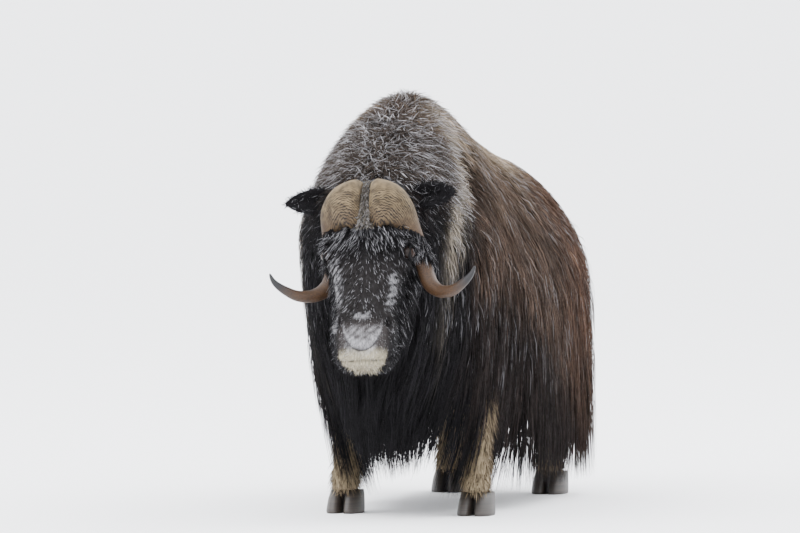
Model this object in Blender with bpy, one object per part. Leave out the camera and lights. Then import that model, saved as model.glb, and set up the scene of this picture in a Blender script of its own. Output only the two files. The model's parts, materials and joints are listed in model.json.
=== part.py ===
"""A life-size muskox bull, standing still with its head low.

The animal looks along -Y, +Z is up, and the origin is on the floor under the middle of its box.
The trunk, head, horns and legs are lofted from a few outlines, parted with thin cuts where a
person would name the parts, and the long coat is flat tapered locks fused to what they grow from.
"""

import math
import random

import bmesh
import bpy
from mathutils import Matrix, Vector
from mathutils.bvhtree import BVHTree

# Driving dimensions, in metres.
SHOULDER_HEIGHT = 1.29  # to the dense coat over the hump
TRUNK_HALF_WIDTH = 0.305
SKIRT_HEM = 0.12  # the locks' tips above the floor
MANE_HEM = 0.30
BIB_HEM = 0.17
GAP = 0.0003  # between touching nodes
CLEARANCE = 0.0005  # of the copies that cut a hairy node free of its neighbours
SEED = 7

# Outlines of the trunk and neck against y, from the throat latch to the tail head. Heights are shares
# of the shoulder height, widths are shares of the trunk's half width.
BACK_LINE = ((-0.96, 0.745), (-0.86, 0.835), (-0.70, 0.924), (-0.55, 0.977), (-0.40, 1.0), (-0.15, 0.935),
             (0.15, 0.863), (0.45, 0.824), (0.70, 0.771), (0.86, 0.695), (0.94, 0.611), (0.975, 0.534))
BELLY_LINE = ((-0.96, 0.58), (-0.86, 0.481), (-0.70, 0.382), (-0.55, 0.328), (-0.40, 0.313), (-0.15, 0.305),
              (0.15, 0.313), (0.45, 0.328), (0.70, 0.359), (0.86, 0.405), (0.975, 0.458))
WIDEST_LINE = ((-0.96, 0.672), (-0.70, 0.641), (-0.40, 0.565), (-0.15, 0.504), (0.45, 0.496), (0.975, 0.504))
WIDTH_LINE = ((-0.96, 0.33), (-0.86, 0.58), (-0.70, 0.76), (-0.55, 0.86), (-0.40, 0.90), (-0.15, 0.98),
              (0.15, 1.0), (0.45, 0.95), (0.70, 0.82), (0.86, 0.58), (0.94, 0.36), (0.975, 0.15))
# How peaked the upper half is: 1.5 falls away like a tent, 2 is an ellipse.
PEAK_LINE = ((-0.96, 2.0), (-0.70, 2.0), (-0.40, 1.85), (-0.15, 1.8), (0.15, 2.0), (0.975, 2.0))

# Where the trunk is parted, against y.
NECK_CUT = -0.56
FLANK_CUT = -0.16
RUMP_CUT = 0.44
SPANS = (("shoulder", NECK_CUT, FLANK_CUT), ("flank", FLANK_CUT, RUMP_CUT), ("rump", RUMP_CUT, 1.3))

# The coat's locks. A tier is its start and end, as shares of the way from the ridge to the hem, its
# width and how far its tips stand out of the core.
TRUNK_TIERS = ((0.36, 1.0, 0.134, 0.036), (0.10, 0.70, 0.130, 0.048))
MANE_TIERS = ((0.22, 1.0, 0.112, 0.032), (0.05, 0.70, 0.112, 0.042))
MANE_PLACES = (-0.875, -0.79, -0.705, -0.62)
BIB_PLACES = ((0.005, -0.84), (0.085, -0.79), (-0.08, -0.79), (0.01, -0.74), (0.135, -0.69),
              (-0.13, -0.69), (0.06, -0.65), (-0.055, -0.65))
BIB_WIDTH = 0.11
LOCK_SPACING = 0.10
LOCK_STATIONS = 5
LOCK_THICKNESS = 0.022
LOCK_TURN = math.radians(9)  # so that one edge of each lock lies over the next
LOCK_WAVE = 0.006
ROOT_DEPTH = 0.035
MANE_TUCK = 0.13
SHOULDER_TUCK = 0.11
FLANK_TUCK = 0.04
RUMP_TUCK = 0.0
RUMP_TURNS = (10, 25, 39, 53, 66, 79)  # degrees from the flank to the tail
TRUNK_MIDDLE, NECK_MIDDLE = 0.66, 0.86  # heights of the middles that the coat's sections are drawn from
SECTION_STEPS, FALL_STEPS = 22, 12

# The head's own axes: a runs from the poll down the face, n stands out of the face, l is the left.
POLL = Vector((0.031, -0.885, 0.985))
HEAD_YAW = math.radians(5)
HEAD_TILT = math.radians(30)  # of the face line from upright
HEAD_ROLL = math.radians(2.6)
HEAD_WIDTH = ((-0.08, 0.088), (0.03, 0.120), (0.12, 0.131), (0.21, 0.129), (0.30, 0.110),
              (0.38, 0.095), (0.46, 0.096), (0.52, 0.090), (0.55, 0.070), (0.562, 0.032))
HEAD_DORSAL = ((-0.08, 0.030), (0.03, 0.074), (0.12, 0.090), (0.21, 0.088), (0.30, 0.073),
               (0.38, 0.064), (0.46, 0.059), (0.52, 0.042), (0.55, 0.018), (0.562, -0.005))
HEAD_VENTRAL = ((-0.08, 0.10), (0.03, 0.13), (0.12, 0.158), (0.21, 0.160), (0.30, 0.136),
                (0.38, 0.112), (0.46, 0.100), (0.52, 0.092), (0.55, 0.066), (0.562, 0.036))
HEAD_MIDDLE = -0.02  # n at the widest line of a section
HEAD_POWER = 0.9  # below 1 the sections are squarer than an ellipse
# The plane where the head ends and the neck begins: a point (a, l, n) and the way into the head.
NAPE_PLACE = (-0.045, 0, 0.03)
NAPE_TURN = (0.85, 0, 0.53)
EYE_RADIUS = 0.020
EYE_PLACE = (0.206, 0.124, 0.036)  # a, l, n of the left eyeball's centre
NOSTRIL_PLACE = (0.440, 0.076, 0.038)
NOSTRIL_RADII = (0.020, 0.013, 0.020)
MOUTH_POINTS = ((0.455, 0.093, -0.044), (0.505, 0.093, -0.026), (0.527, 0.088, -0.012),
                (0.5425, 0.077, 0.000), (0.550, 0.057, 0.0085), (0.553, 0.020, 0.0125))
MOUTH_RADIUS = 0.0042
LID_RADIUS, LID_THICKNESS = 0.0175, 0.0048
# Soft swellings of the head: place (a, l, n), height and reach, each made on both sides.
SWELLINGS = (((0.186, 0.127, 0.052), 0.022, 0.030),  # brow over the orbit
             ((0.234, 0.122, 0.028), 0.011, 0.024),  # lower rim of the orbit
             ((0.448, 0.088, 0.028), 0.012, 0.020),  # nostril wing
             ((0.530, 0.050, 0.000), 0.012, 0.022),  # upper lip
             ((0.535, 0.034, -0.070), 0.010, 0.024),  # chin
             ((0.190, 0.110, -0.085), 0.012, 0.050))  # cheek muscle

# The left horn, as (l, a, n), radius across the face and radius out of it, from the parting to the tip.
HORN_SECTIONS = (((0.0145, 0.066, 0.092), 0.061, 0.034), ((0.0165, 0.066, 0.094), 0.072, 0.045),
                 ((0.038, 0.067, 0.100), 0.077, 0.055), ((0.067, 0.073, 0.092), 0.070, 0.055),
                 ((0.095, 0.089, 0.068), 0.052, 0.049), ((0.116, 0.118, 0.028), 0.035, 0.038),
                 ((0.129, 0.160, -0.018), 0.028, 0.030), ((0.138, 0.212, -0.047), 0.026, 0.027),
                 ((0.156, 0.262, -0.054), 0.024, 0.024), ((0.190, 0.299, -0.038), 0.0195, 0.0195),
                 ((0.233, 0.316, -0.008), 0.0165, 0.0165), ((0.270, 0.311, 0.022), 0.0130, 0.0130),
                 ((0.300, 0.294, 0.044), 0.0085, 0.0085), ((0.315, 0.268, 0.056), 0.0030, 0.0030))
BOSS_SECTIONS = 3  # the first of these stand square to the parting
HORN_SWAY = 0.020  # how far both hooks stand over to the animal's left
SWAY_SECTIONS = (4, 8)  # where the sway begins and where it is full
EAR_ROOT = (-0.012, 0.095, -0.030)
EAR_REACH = {1: (-0.018, 0.152, 0.034), -1: (0.004, 0.179, 0.036)}  # from root to tip, left and right
EAR_SHAPE = ((0, 0.55), (0.25, 0.85), (0.5, 1.0), (0.72, 0.8), (0.9, 0.4), (0.985, 0.1))  # along it, height
EAR_DROOP = 0.012
EAR_HALF_HEIGHT = 0.042
EAR_HALF_THICKNESS = 0.020

# Legs as (y, z, radius) down the left side; x is the distance from the middle.
FRONT_LEG_X = 0.209
HIND_LEG_X = 0.165
FRONT_LEG = ((-0.35, 0.56, 0.070), (-0.36, 0.46, 0.066), (-0.365, 0.34, 0.056), (-0.37, 0.28, 0.053),
             (-0.365, 0.20, 0.046), (-0.365, 0.14, 0.048), (-0.372, 0.105, 0.050), (-0.380, 0.070, 0.047))
HIND_LEG = ((0.60, 0.58, 0.100), (0.62, 0.48, 0.085), (0.67, 0.38, 0.060), (0.695, 0.31, 0.050),
            (0.675, 0.22, 0.044), (0.665, 0.14, 0.047), (0.658, 0.105, 0.050), (0.650, 0.070, 0.047))
TAIL = ((0.88, 0.80, 0.045), (0.95, 0.765, 0.036), (0.985, 0.72, 0.030), (0.998, 0.66, 0.022),
        (1.002, 0.62, 0.008))
HOOF_HEIGHT = 0.070
HOOF_LENGTH = 0.125
CLAW_WIDTH = 0.052
CLAW_PARTING = 0.006
CLAW_RINGS = ((0.0, 0.97, 0.0), (0.010, 1.0, 0.001), (0.045, 0.90, 0.012),
              (HOOF_HEIGHT - GAP, 0.74, 0.024))  # height, size and how far back

# How many corners the rings of each loft have.
TRUNK_CORNERS, HEAD_CORNERS, HORN_CORNERS, EAR_CORNERS, LEG_CORNERS, TAIL_CORNERS = 24, 26, 18, 10, 12, 10
TRUNK_STATIONS = 22

COLOURS = {"coat_dark": (0.035, 0.028, 0.026), "coat_brown": (0.105, 0.062, 0.042),
           "coat_pale": (0.50, 0.42, 0.30), "horn": (0.42, 0.32, 0.20), "hoof": (0.04, 0.035, 0.03),
           "eye": (0.02, 0.012, 0.008)}


def along(outline, place):
    """The outline's value at a place, by a smooth curve through its points."""
    if place <= outline[0][0]:
        return outline[0][1]
    if place >= outline[-1][0]:
        return outline[-1][1]
    k = max(i for i in range(len(outline) - 1) if outline[i][0] <= place)
    (x0, y0), (x1, y1) = outline[k], outline[k + 1]

    def slope(i):
        a, b = outline[max(i - 1, 0)], outline[min(i + 1, len(outline) - 1)]
        return (b[1] - a[1]) / (b[0] - a[0])

    t = (place - x0) / (x1 - x0)
    span = x1 - x0
    return ((2 * t ** 3 - 3 * t ** 2 + 1) * y0 + (t ** 3 - 2 * t ** 2 + t) * span * slope(k)
            + (3 * t ** 2 - 2 * t ** 3) * y1 + (t ** 3 - t ** 2) * span * slope(k + 1))


def spaced(first, last, count):
    return [first + (last - first) * i / (count - 1) for i in range(count)]


def signed_power(value, power):
    return math.copysign(abs(value) ** power, value)


def new_object(name, mesh_maker, collection):
    """An object whose mesh is what mesh_maker(bm) builds."""
    bm = bmesh.new()
    mesh_maker(bm)
    bmesh.ops.recalc_face_normals(bm, faces=bm.faces)
    mesh = bpy.data.meshes.new(name)
    bm.to_mesh(mesh)
    bm.free()
    obj = bpy.data.objects.new(name, mesh)
    collection.objects.link(obj)
    return obj


def loft(name, rings, collection):
    """A closed body through rings of the same count, with a flat or pointed end at each end."""

    def build(bm):
        loops = [[bm.verts.new(p) for p in ring] for ring in rings]
        count = len(rings[0])
        for low, high in zip(loops, loops[1:]):
            for i in range(count):
                j = (i + 1) % count
                bm.faces.new((low[i], low[j], high[j], high[i]))
        for loop in (loops[0], loops[-1]):
            centre = bm.verts.new(sum((v.co for v in loop), Vector()) / count)
            for i in range(count):
                bm.faces.new((loop[i], loop[(i + 1) % count], centre))
        bmesh.ops.triangulate(bm, faces=bm.faces)

    return new_object(name, build, collection)


def apply_modifiers(obj):
    graph = bpy.context.evaluated_depsgraph_get()
    mesh = bpy.data.meshes.new_from_object(obj.evaluated_get(graph))
    obj.modifiers.clear()
    obj.data = mesh


def boolean(obj, others, operation, solver="EXACT"):
    """Joins or cuts obj with the others, which are removed."""
    group = bpy.data.collections.new("operands")
    for other in others:
        for owner in other.users_collection:
            owner.objects.unlink(other)
        group.objects.link(other)
    modifier = obj.modifiers.new(operation, "BOOLEAN")
    modifier.operation = operation
    modifier.operand_type = "COLLECTION"
    modifier.collection = group
    modifier.solver = solver
    bpy.context.scene.collection.children.link(group)
    bpy.context.view_layer.update()
    apply_modifiers(obj)
    for other in list(group.objects):
        bpy.data.objects.remove(other)
    bpy.data.collections.remove(group)


def keep_largest(obj):
    """Leaves only the largest connected surface, so that no loose scrap or sealed hollow stays."""
    bm = bmesh.new()
    bm.from_mesh(obj.data)
    unseen = set(bm.verts)
    shells = []
    while unseen:
        stack = [unseen.pop()]
        shell = set(stack)
        while stack:
            for edge in stack.pop().link_edges:
                for vert in edge.verts:
                    if vert in unseen:
                        unseen.discard(vert)
                        shell.add(vert)
                        stack.append(vert)
        shells.append(shell)
    shells.sort(key=len)
    for shell in shells[:-1]:
        bmesh.ops.delete(bm, geom=list(shell), context="VERTS")
    bm.to_mesh(obj.data)
    bm.free()


def halved(obj, point, normal):
    """Removes what lies on the normal's side of a plane, and closes the cut with a flat face."""
    bm = bmesh.new()
    bm.from_mesh(obj.data)
    geometry = bm.verts[:] + bm.edges[:] + bm.faces[:]
    made = bmesh.ops.bisect_plane(bm, geom=geometry, dist=1e-6, plane_co=point, plane_no=normal,
                                  clear_outer=True)
    rim = [g for g in made["geom_cut"] if isinstance(g, bmesh.types.BMEdge)]
    bmesh.ops.holes_fill(bm, edges=rim, sides=0)
    bmesh.ops.triangulate(bm, faces=[f for f in bm.faces if len(f.verts) > 4])
    bmesh.ops.recalc_face_normals(bm, faces=bm.faces)
    bm.to_mesh(obj.data)
    bm.free()


def copied(obj, name, collection, grow=0.0):
    """A copy whose faces stand out by grow, for cutting a neighbour clear of it."""
    mesh = obj.data.copy()
    if grow:
        normals = [v.normal.copy() for v in mesh.vertices]
        for vert, normal in zip(mesh.vertices, normals):
            vert.co += normal * grow
    twin = bpy.data.objects.new(name, mesh)
    collection.objects.link(twin)
    return twin


def surface_of(obj):
    """A tree for finding where a ray meets obj."""
    bm = bmesh.new()
    bm.from_mesh(obj.data)
    tree = BVHTree.FromBMesh(bm)
    bm.free()
    return tree


# The trunk, neck included.

def trunk_ring(y, count):
    """One upright section of the trunk, from the belly round to the belly."""
    half_width = TRUNK_HALF_WIDTH * along(WIDTH_LINE, y)
    top, bottom, widest = (SHOULDER_HEIGHT * along(line, y) for line in (BACK_LINE, BELLY_LINE, WIDEST_LINE))
    peak = along(PEAK_LINE, y)
    ring = []
    for i in range(count):
        angle = 2 * math.pi * i / count
        side, rise = math.sin(angle), -math.cos(angle)
        power = 2 / peak if rise > 0 else 1.0
        height = top - widest if rise > 0 else widest - bottom
        ring.append(Vector((half_width * signed_power(side, power), y,
                            widest + height * signed_power(rise, power))))
    return ring


def trunk(collection):
    stations = spaced(BACK_LINE[0][0], BACK_LINE[-1][0], TRUNK_STATIONS)
    return loft("trunk", [trunk_ring(y, TRUNK_CORNERS) for y in stations], collection)


# Locks of the long coat.

def lock(path, outward, width, collection):
    """A flat lock along path that swells from its root and tapers to its tip."""
    last = len(path) - 1
    rings = []
    for k, (point, normal) in enumerate(zip(path, outward)):
        t = k / last
        tangent = (path[min(k + 1, last)] - path[max(k - 1, 0)]).normalized()
        side = tangent.cross(normal).normalized()
        out = side.cross(tangent).normalized()
        swell = min(0.55 + 1.6 * t, 1.0) * (1 - 0.93 * max(0.0, (t - 0.5) / 0.5) ** 2)
        half_width, half_depth = width / 2 * swell, LOCK_THICKNESS / 2 * max(swell, 0.25)
        rings.append([point + side * half_width, point + out * half_depth,
                      point - side * half_width, point - out * half_depth])
    return loft("lock", rings, collection)


class Coat:
    """Lays locks on a core, each following the section of the core that lies under it."""

    def __init__(self, core, collection):
        self.tree = surface_of(core)
        self.collection = collection
        self.chance = random.Random(SEED)
        self.locks = []

    def section(self, centre, direction, hem, tuck):
        """Points down the core from its ridge to its widest, then down to the hem and in by tuck."""
        points = []
        for k in range(SECTION_STEPS + 1):
            rise = math.radians(90 - 90 * k / SECTION_STEPS)
            ray = direction * math.cos(rise) + Vector((0, 0, math.sin(rise)))
            hit = self.tree.ray_cast(centre + ray * 3, -ray)[0]
            if hit is not None:
                points.append(hit)
        widest = max(points, key=lambda p: (p - centre).dot(direction))
        points = points[:points.index(widest) + 1]
        drop = widest.z - hem
        for k in range(1, FALL_STEPS + 1):
            fall = k / FALL_STEPS
            points.append(widest - Vector((0, 0, drop * fall)) - direction * tuck * fall ** 1.5)
        return points

    def lay(self, centre, direction, start, end, width, lift, hem, tuck):
        """One lock from start to end along the section, as shares of its length.

        Its tip stands out of the core by lift, and the section draws in by tuck towards the hem.
        """
        points = self.section(centre, direction, hem, tuck)
        lengths = [0.0]
        for a, b in zip(points, points[1:]):
            lengths.append(lengths[-1] + (b - a).length)
        across = Vector((-direction.y, direction.x, 0))
        if across.y < 0:
            across = -across
        phase = self.chance.uniform(0, 2 * math.pi)
        path, outward = [], []
        for k in range(LOCK_STATIONS):
            t = k / (LOCK_STATIONS - 1)
            at = (start + (end - start) * t) * lengths[-1]
            i = max(j for j in range(len(lengths) - 1) if lengths[j] <= at)
            share = (at - lengths[i]) / max(lengths[i + 1] - lengths[i], 1e-9)
            point = points[i].lerp(points[i + 1], share)
            run = (points[i + 1] - points[i]).normalized()
            normal = across.cross(run)
            if normal.dot(point - centre) < 0:
                normal = -normal
            rise = lift * (1 - (1 - t) ** 2) - ROOT_DEPTH * (1 - t) ** 2
            path.append(point + normal * rise + across * LOCK_WAVE * math.sin(phase + 4 * t))
            outward.append((normal + across * math.tan(LOCK_TURN)).normalized())
        self.locks.append(lock(path, outward, width, self.collection))

    def hang(self, root, length, outward, width):
        """One lock that hangs straight down from a root under the core."""
        phase = self.chance.uniform(0, 2 * math.pi)
        across = outward.cross(Vector((0, 0, 1))).normalized()
        path = []
        for k in range(LOCK_STATIONS):
            t = k / (LOCK_STATIONS - 1)
            drop = Vector((0, 0, ROOT_DEPTH - (length + ROOT_DEPTH) * t))
            path.append(root + drop + across * LOCK_WAVE * math.sin(phase + 4 * t))
        self.locks.append(lock(path, [outward] * LOCK_STATIONS, width, self.collection))

    def taken(self):
        """The locks laid since the last call, so that they can be fused to one node."""
        made, self.locks = self.locks, []
        return made


def neck_locks(coat):
    """The mane down both sides of the neck and the bib under the throat."""
    for side in (1, -1):
        for start, end, width, lift in MANE_TIERS:
            for y in MANE_PLACES:
                centre = Vector((0, y, NECK_MIDDLE))
                finish_at = end + coat.chance.uniform(-0.03, 0.03)
                coat.lay(centre, Vector((side, 0, 0)), start, finish_at, width, lift, MANE_HEM, MANE_TUCK)
    for x, y in BIB_PLACES:
        root = Vector((x, y, SHOULDER_HEIGHT * along(BELLY_LINE, y) + 0.04))
        length = root.z - BIB_HEM - coat.chance.uniform(0, 0.05)
        coat.hang(root, length, Vector((x * 2, -1, 0)).normalized(), BIB_WIDTH)


def trunk_locks(coat, name, side, first, last):
    """Tiers of locks down one side of a length of the trunk, each tier over the next."""
    tuck = {"shoulder": SHOULDER_TUCK, "flank": FLANK_TUCK, "rump": RUMP_TUCK}[name]
    for start, end, width, lift in TRUNK_TIERS:
        for centre, direction in lock_places(name, side, first, last):
            finish_at = end + coat.chance.uniform(-0.035, 0.01)
            coat.lay(centre, direction, start, finish_at, width, lift, SKIRT_HEM, tuck)


def lock_places(name, side, first, last):
    """Where the locks of one tier stand, as the centre and direction of the section each lies in."""
    if name != "rump":
        count = round((last - first) / LOCK_SPACING)
        inset = (last - first) / count / 2
        return [(Vector((0, y, TRUNK_MIDDLE)), Vector((side, 0, 0)))
                for y in spaced(first + inset, last - inset, count)]
    places = [(Vector((0, RUMP_CUT + 0.05, TRUNK_MIDDLE)), Vector((side, 0, 0)))]
    for turn in RUMP_TURNS:
        angle = math.radians(turn)
        direction = Vector((side * math.cos(angle), math.sin(angle), 0))
        places.append((Vector((0, RUMP_CUT + 0.08, TRUNK_MIDDLE)), direction))
    return places


# The head and what it carries.

def head_axes():
    """The matrix from (a, l, n) to the body's frame."""
    forward = Vector((math.sin(HEAD_YAW), -math.cos(HEAD_YAW), 0))
    up = Vector((0, 0, 1))
    down_face = forward * math.sin(HEAD_TILT) - up * math.cos(HEAD_TILT)
    out_of_face = forward * math.cos(HEAD_TILT) + up * math.sin(HEAD_TILT)
    left = Vector((math.cos(HEAD_YAW), math.sin(HEAD_YAW), 0))
    axes = Matrix((down_face, left, out_of_face)).transposed()
    roll = Matrix.Rotation(HEAD_ROLL, 3, forward)
    return Matrix.Translation(POLL) @ (roll @ axes).to_4x4()


HEAD = head_axes()


def in_head(a, l, n):
    return HEAD @ Vector((a, l, n))


def head_direction(a, l, n):
    return (HEAD.to_3x3() @ Vector((a, l, n))).normalized()


def head_ring(a, count):
    width, dorsal, ventral = along(HEAD_WIDTH, a), along(HEAD_DORSAL, a), along(HEAD_VENTRAL, a)
    ring = []
    for i in range(count):
        angle = 2 * math.pi * i / count
        side, rise = signed_power(math.sin(angle), HEAD_POWER), signed_power(-math.cos(angle), HEAD_POWER)
        height = dorsal - HEAD_MIDDLE if rise > 0 else ventral + HEAD_MIDDLE
        ring.append(Vector((a, width * side, HEAD_MIDDLE + height * rise)))
    return ring


def swollen(point):
    """A point of the head's surface, moved out by the swellings near it."""
    out = Vector((0, point.y, point.z + 0.03))
    if point.x > 0.5:
        out.x = (point.x - 0.5) * 1.5
    out.normalize()
    moved = point.copy()
    for (a, l, n), height, reach in SWELLINGS:
        for side in (1, -1):
            away = (point - Vector((a, l * side, n))).length
            moved += out * height * math.exp(-(away / reach) ** 2)
    return moved


def head(collection):
    places = spaced(-0.08, 0.15, 6) + spaced(0.17, 0.27, 6) + spaced(0.30, 0.43, 5)
    places += spaced(0.45, 0.55, 8) + [0.559, 0.562]
    rings = [[HEAD @ swollen(p) for p in head_ring(a, HEAD_CORNERS)] for a in places]
    return loft("head", rings, collection)


def ball(name, place, radii, collection):
    """An ellipsoid at a place on the head, with its axes along the head's own."""
    stretch = (HEAD.to_3x3() @ Matrix.Diagonal(radii)).to_4x4()

    def build(bm):
        bmesh.ops.create_uvsphere(bm, u_segments=14, v_segments=8, radius=1)
        bmesh.ops.transform(bm, matrix=Matrix.Translation(in_head(*place)) @ stretch, verts=bm.verts)

    return new_object(name, build, collection)


def eyelids(side, collection):
    """A rounded rim round one eye, the upper and lower lid in one ring."""
    a, l, n = EYE_PLACE
    centre = in_head(a, l * side, n) + head_direction(0, side, 0.35) * 0.012
    gaze = head_direction(0, side, 0.35)

    def build(bm):
        rim = bmesh.ops.create_circle(bm, segments=5, radius=LID_THICKNESS)["verts"]
        bmesh.ops.transform(bm, matrix=Matrix.Rotation(math.pi / 2, 4, "X"), verts=rim)
        bmesh.ops.translate(bm, vec=(LID_RADIUS, 0, 0), verts=rim)
        bmesh.ops.spin(bm, geom=bm.verts[:] + bm.edges[:], cent=(0, 0, 0), axis=(0, 0, 1), dvec=(0, 0, 0),
                       angle=2 * math.pi, steps=14, use_merge=True)
        bmesh.ops.remove_doubles(bm, verts=bm.verts, dist=1e-5)
        spread = Matrix.Diagonal((1.15, 0.92, 1.0, 1.0))
        place = Matrix.Translation(centre) @ gaze.to_track_quat("Z", "X").to_matrix().to_4x4()
        bmesh.ops.transform(bm, matrix=place @ spread, verts=bm.verts)

    return new_object("eyelids", build, collection)


def mouth_cutter(collection):
    """A thin tube along the line of the mouth, from corner to corner."""
    curve = bpy.data.curves.new("mouth", "CURVE")
    curve.dimensions = "3D"
    curve.bevel_depth = MOUTH_RADIUS
    curve.bevel_resolution = 1
    curve.use_fill_caps = True
    spline = curve.splines.new("POLY")
    left = [in_head(a, l, n) for a, l, n in MOUTH_POINTS]
    right = [in_head(a, -l, n) for a, l, n in MOUTH_POINTS]
    points = left + right[::-1]
    spline.points.add(len(points) - 1)
    for slot, point in zip(spline.points, points):
        slot.co = (*point, 1)
    guide = bpy.data.objects.new("mouth", curve)
    collection.objects.link(guide)
    bpy.context.view_layer.update()
    mesh = bpy.data.meshes.new_from_object(guide.evaluated_get(bpy.context.evaluated_depsgraph_get()))
    bm = bmesh.new()
    bm.from_mesh(mesh)
    bmesh.ops.remove_doubles(bm, verts=bm.verts, dist=1e-5)
    bmesh.ops.recalc_face_normals(bm, faces=bm.faces)
    bm.to_mesh(mesh)
    bm.free()
    cutter = bpy.data.objects.new("mouth_cut", mesh)
    collection.objects.link(cutter)
    bpy.data.objects.remove(guide)
    return cutter


def horn(side, collection):
    """One horn in a piece: the broad boss on the brow, the shaft down the cheek and the upturned hook."""
    first, full = SWAY_SECTIONS
    places = []
    for k, ((l, a, n), _, _) in enumerate(HORN_SECTIONS):
        share = min(max((k - first) / (full - first), 0), 1)
        places.append(Vector((a, l * side + HORN_SWAY * share * share * (3 - 2 * share), n)))
    last = len(places) - 1
    rings = []
    for k, (_, across, out) in enumerate(HORN_SECTIONS):
        tangent = (places[min(k + 1, last)] - places[max(k - 1, 0)]).normalized()
        if k < BOSS_SECTIONS:
            tangent = Vector((0, side, 0))
        outward = Vector((0, 0, 1))
        outward = (outward - tangent * outward.dot(tangent)).normalized()
        flat = tangent.cross(outward)
        ring = []
        for i in range(HORN_CORNERS):
            angle = 2 * math.pi * i / HORN_CORNERS
            offset = flat * across * signed_power(math.cos(angle), 0.9)
            offset += outward * out * signed_power(math.sin(angle), 0.9)
            ring.append(HEAD @ (places[k] + offset))
        rings.append(ring)
    return loft("horn", rings, collection)


def ear(side, collection):
    """A pointed leaf with a cup in its front."""
    root = Vector(EAR_ROOT)
    root.y *= side
    reach = Vector(EAR_REACH[side])
    reach.y *= side
    length = reach.length
    reach.normalize()
    up = Vector((-1, 0, 0.35))
    up = (up - reach * up.dot(reach)).normalized()
    front = reach.cross(up) * side
    rings, hollow = [], []
    for t, height in EAR_SHAPE:
        centre = root + reach * length * t - up * EAR_DROOP * t * t
        ring, cup = [], []
        for i in range(EAR_CORNERS):
            angle = 2 * math.pi * i / EAR_CORNERS
            tall, thick = EAR_HALF_HEIGHT * height, EAR_HALF_THICKNESS * max(height, 0.3)
            ring.append(HEAD @ (centre + up * tall * math.cos(angle) + front * thick * math.sin(angle)))
            cup_centre = centre + front * EAR_HALF_THICKNESS * 0.95
            cup.append(HEAD @ (cup_centre + up * tall * 0.72 * math.cos(angle)
                               + front * thick * 0.75 * math.sin(angle)))
        rings.append(ring)
        if 0 < t < 0.95:
            hollow.append(cup)
    blade = loft("ear", rings, collection)
    boolean(blade, [loft("cup", hollow, collection)], "DIFFERENCE")
    return blade


# Legs and hooves.

def leg(x, outline, collection):
    rings = []
    for y, z, radius in outline:
        ring = []
        for i in range(LEG_CORNERS):
            angle = 2 * math.pi * i / LEG_CORNERS
            ring.append(Vector((x + radius * 0.9 * math.cos(angle), y + radius * 1.08 * math.sin(angle), z)))
        rings.append(ring)
    return loft("leg", rings, collection)


def claw(x, y, side, collection):
    """One of a hoof's two claws: flat below, rounded in front, with a sloping wall."""
    rings = []
    for z, grow, back in CLAW_RINGS:
        ring = []
        for i in range(LEG_CORNERS):
            angle = 2 * math.pi * i / LEG_CORNERS
            outer, ahead = math.cos(angle), -math.sin(angle)
            wide = CLAW_WIDTH * (0.5 + 0.5 * signed_power(outer, 0.7) * (grow if outer > 0 else 1))
            long = HOOF_LENGTH / 2 * grow * signed_power(ahead, 0.85)
            taper = 1 - 0.22 * max(ahead, 0) ** 2
            ring.append(Vector((x + side * (CLAW_PARTING / 2 + wide * taper), y - long + back, z)))
        rings.append(ring)
    return loft("claw", rings, collection)


# The whole animal.

def finish(obj, name, colour, parts):
    """Names a node, gives it its material and moves it among the parts."""
    for owner in list(obj.users_collection):
        owner.objects.unlink(obj)
    parts.objects.link(obj)
    keep_largest(obj)
    obj.name = name
    obj.data.name = name
    material = bpy.data.materials.get(colour) or bpy.data.materials.new(colour)
    material.use_nodes = True
    shader = material.node_tree.nodes["Principled BSDF"]
    shader.inputs["Base Color"].default_value = (*COLOURS[colour], 1)
    shader.inputs["Roughness"].default_value = 0.35 if colour in ("horn", "hoof", "eye") else 0.9
    shader.inputs["Metallic"].default_value = 0.0
    obj.data.materials.clear()
    obj.data.materials.append(material)


def centre_on_origin(parts):
    """Moves every node by one step, so that the box's middle is over the origin and its foot at 0."""
    corners = [v.co for obj in parts.objects for v in obj.data.vertices]
    low = Vector([min(c[k] for c in corners) for k in range(3)])
    high = Vector([max(c[k] for c in corners) for k in range(3)])
    step = Vector((-(low.x + high.x) / 2, -(low.y + high.y) / 2, -low.z))
    for obj in parts.objects:
        obj.data.transform(Matrix.Translation(step))
    print("step", [round(v, 5) for v in step], "size", [round(v, 4) for v in high - low])


def region(low, high, collection):
    """A box between two corners, for trimming a node to where it belongs."""

    def build(bm):
        bmesh.ops.create_cube(bm, size=1)
        size = Matrix.Diagonal((*(h - l for l, h in zip(low, high)), 1))
        middle = Vector([(l + h) / 2 for l, h in zip(low, high)])
        bmesh.ops.transform(bm, matrix=Matrix.Translation(middle) @ size, verts=bm.verts)

    return new_object("region", build, collection)


def tail(collection):
    rings = []
    for y, z, radius in TAIL:
        ring = []
        for i in range(TAIL_CORNERS):
            angle = 2 * math.pi * i / TAIL_CORNERS
            wide, deep = radius * math.cos(angle), radius * math.sin(angle)
            ring.append(Vector((wide, y + deep * 0.6, z + deep * 0.5)))
        rings.append(ring)
    return loft("tail", rings, collection)


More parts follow.
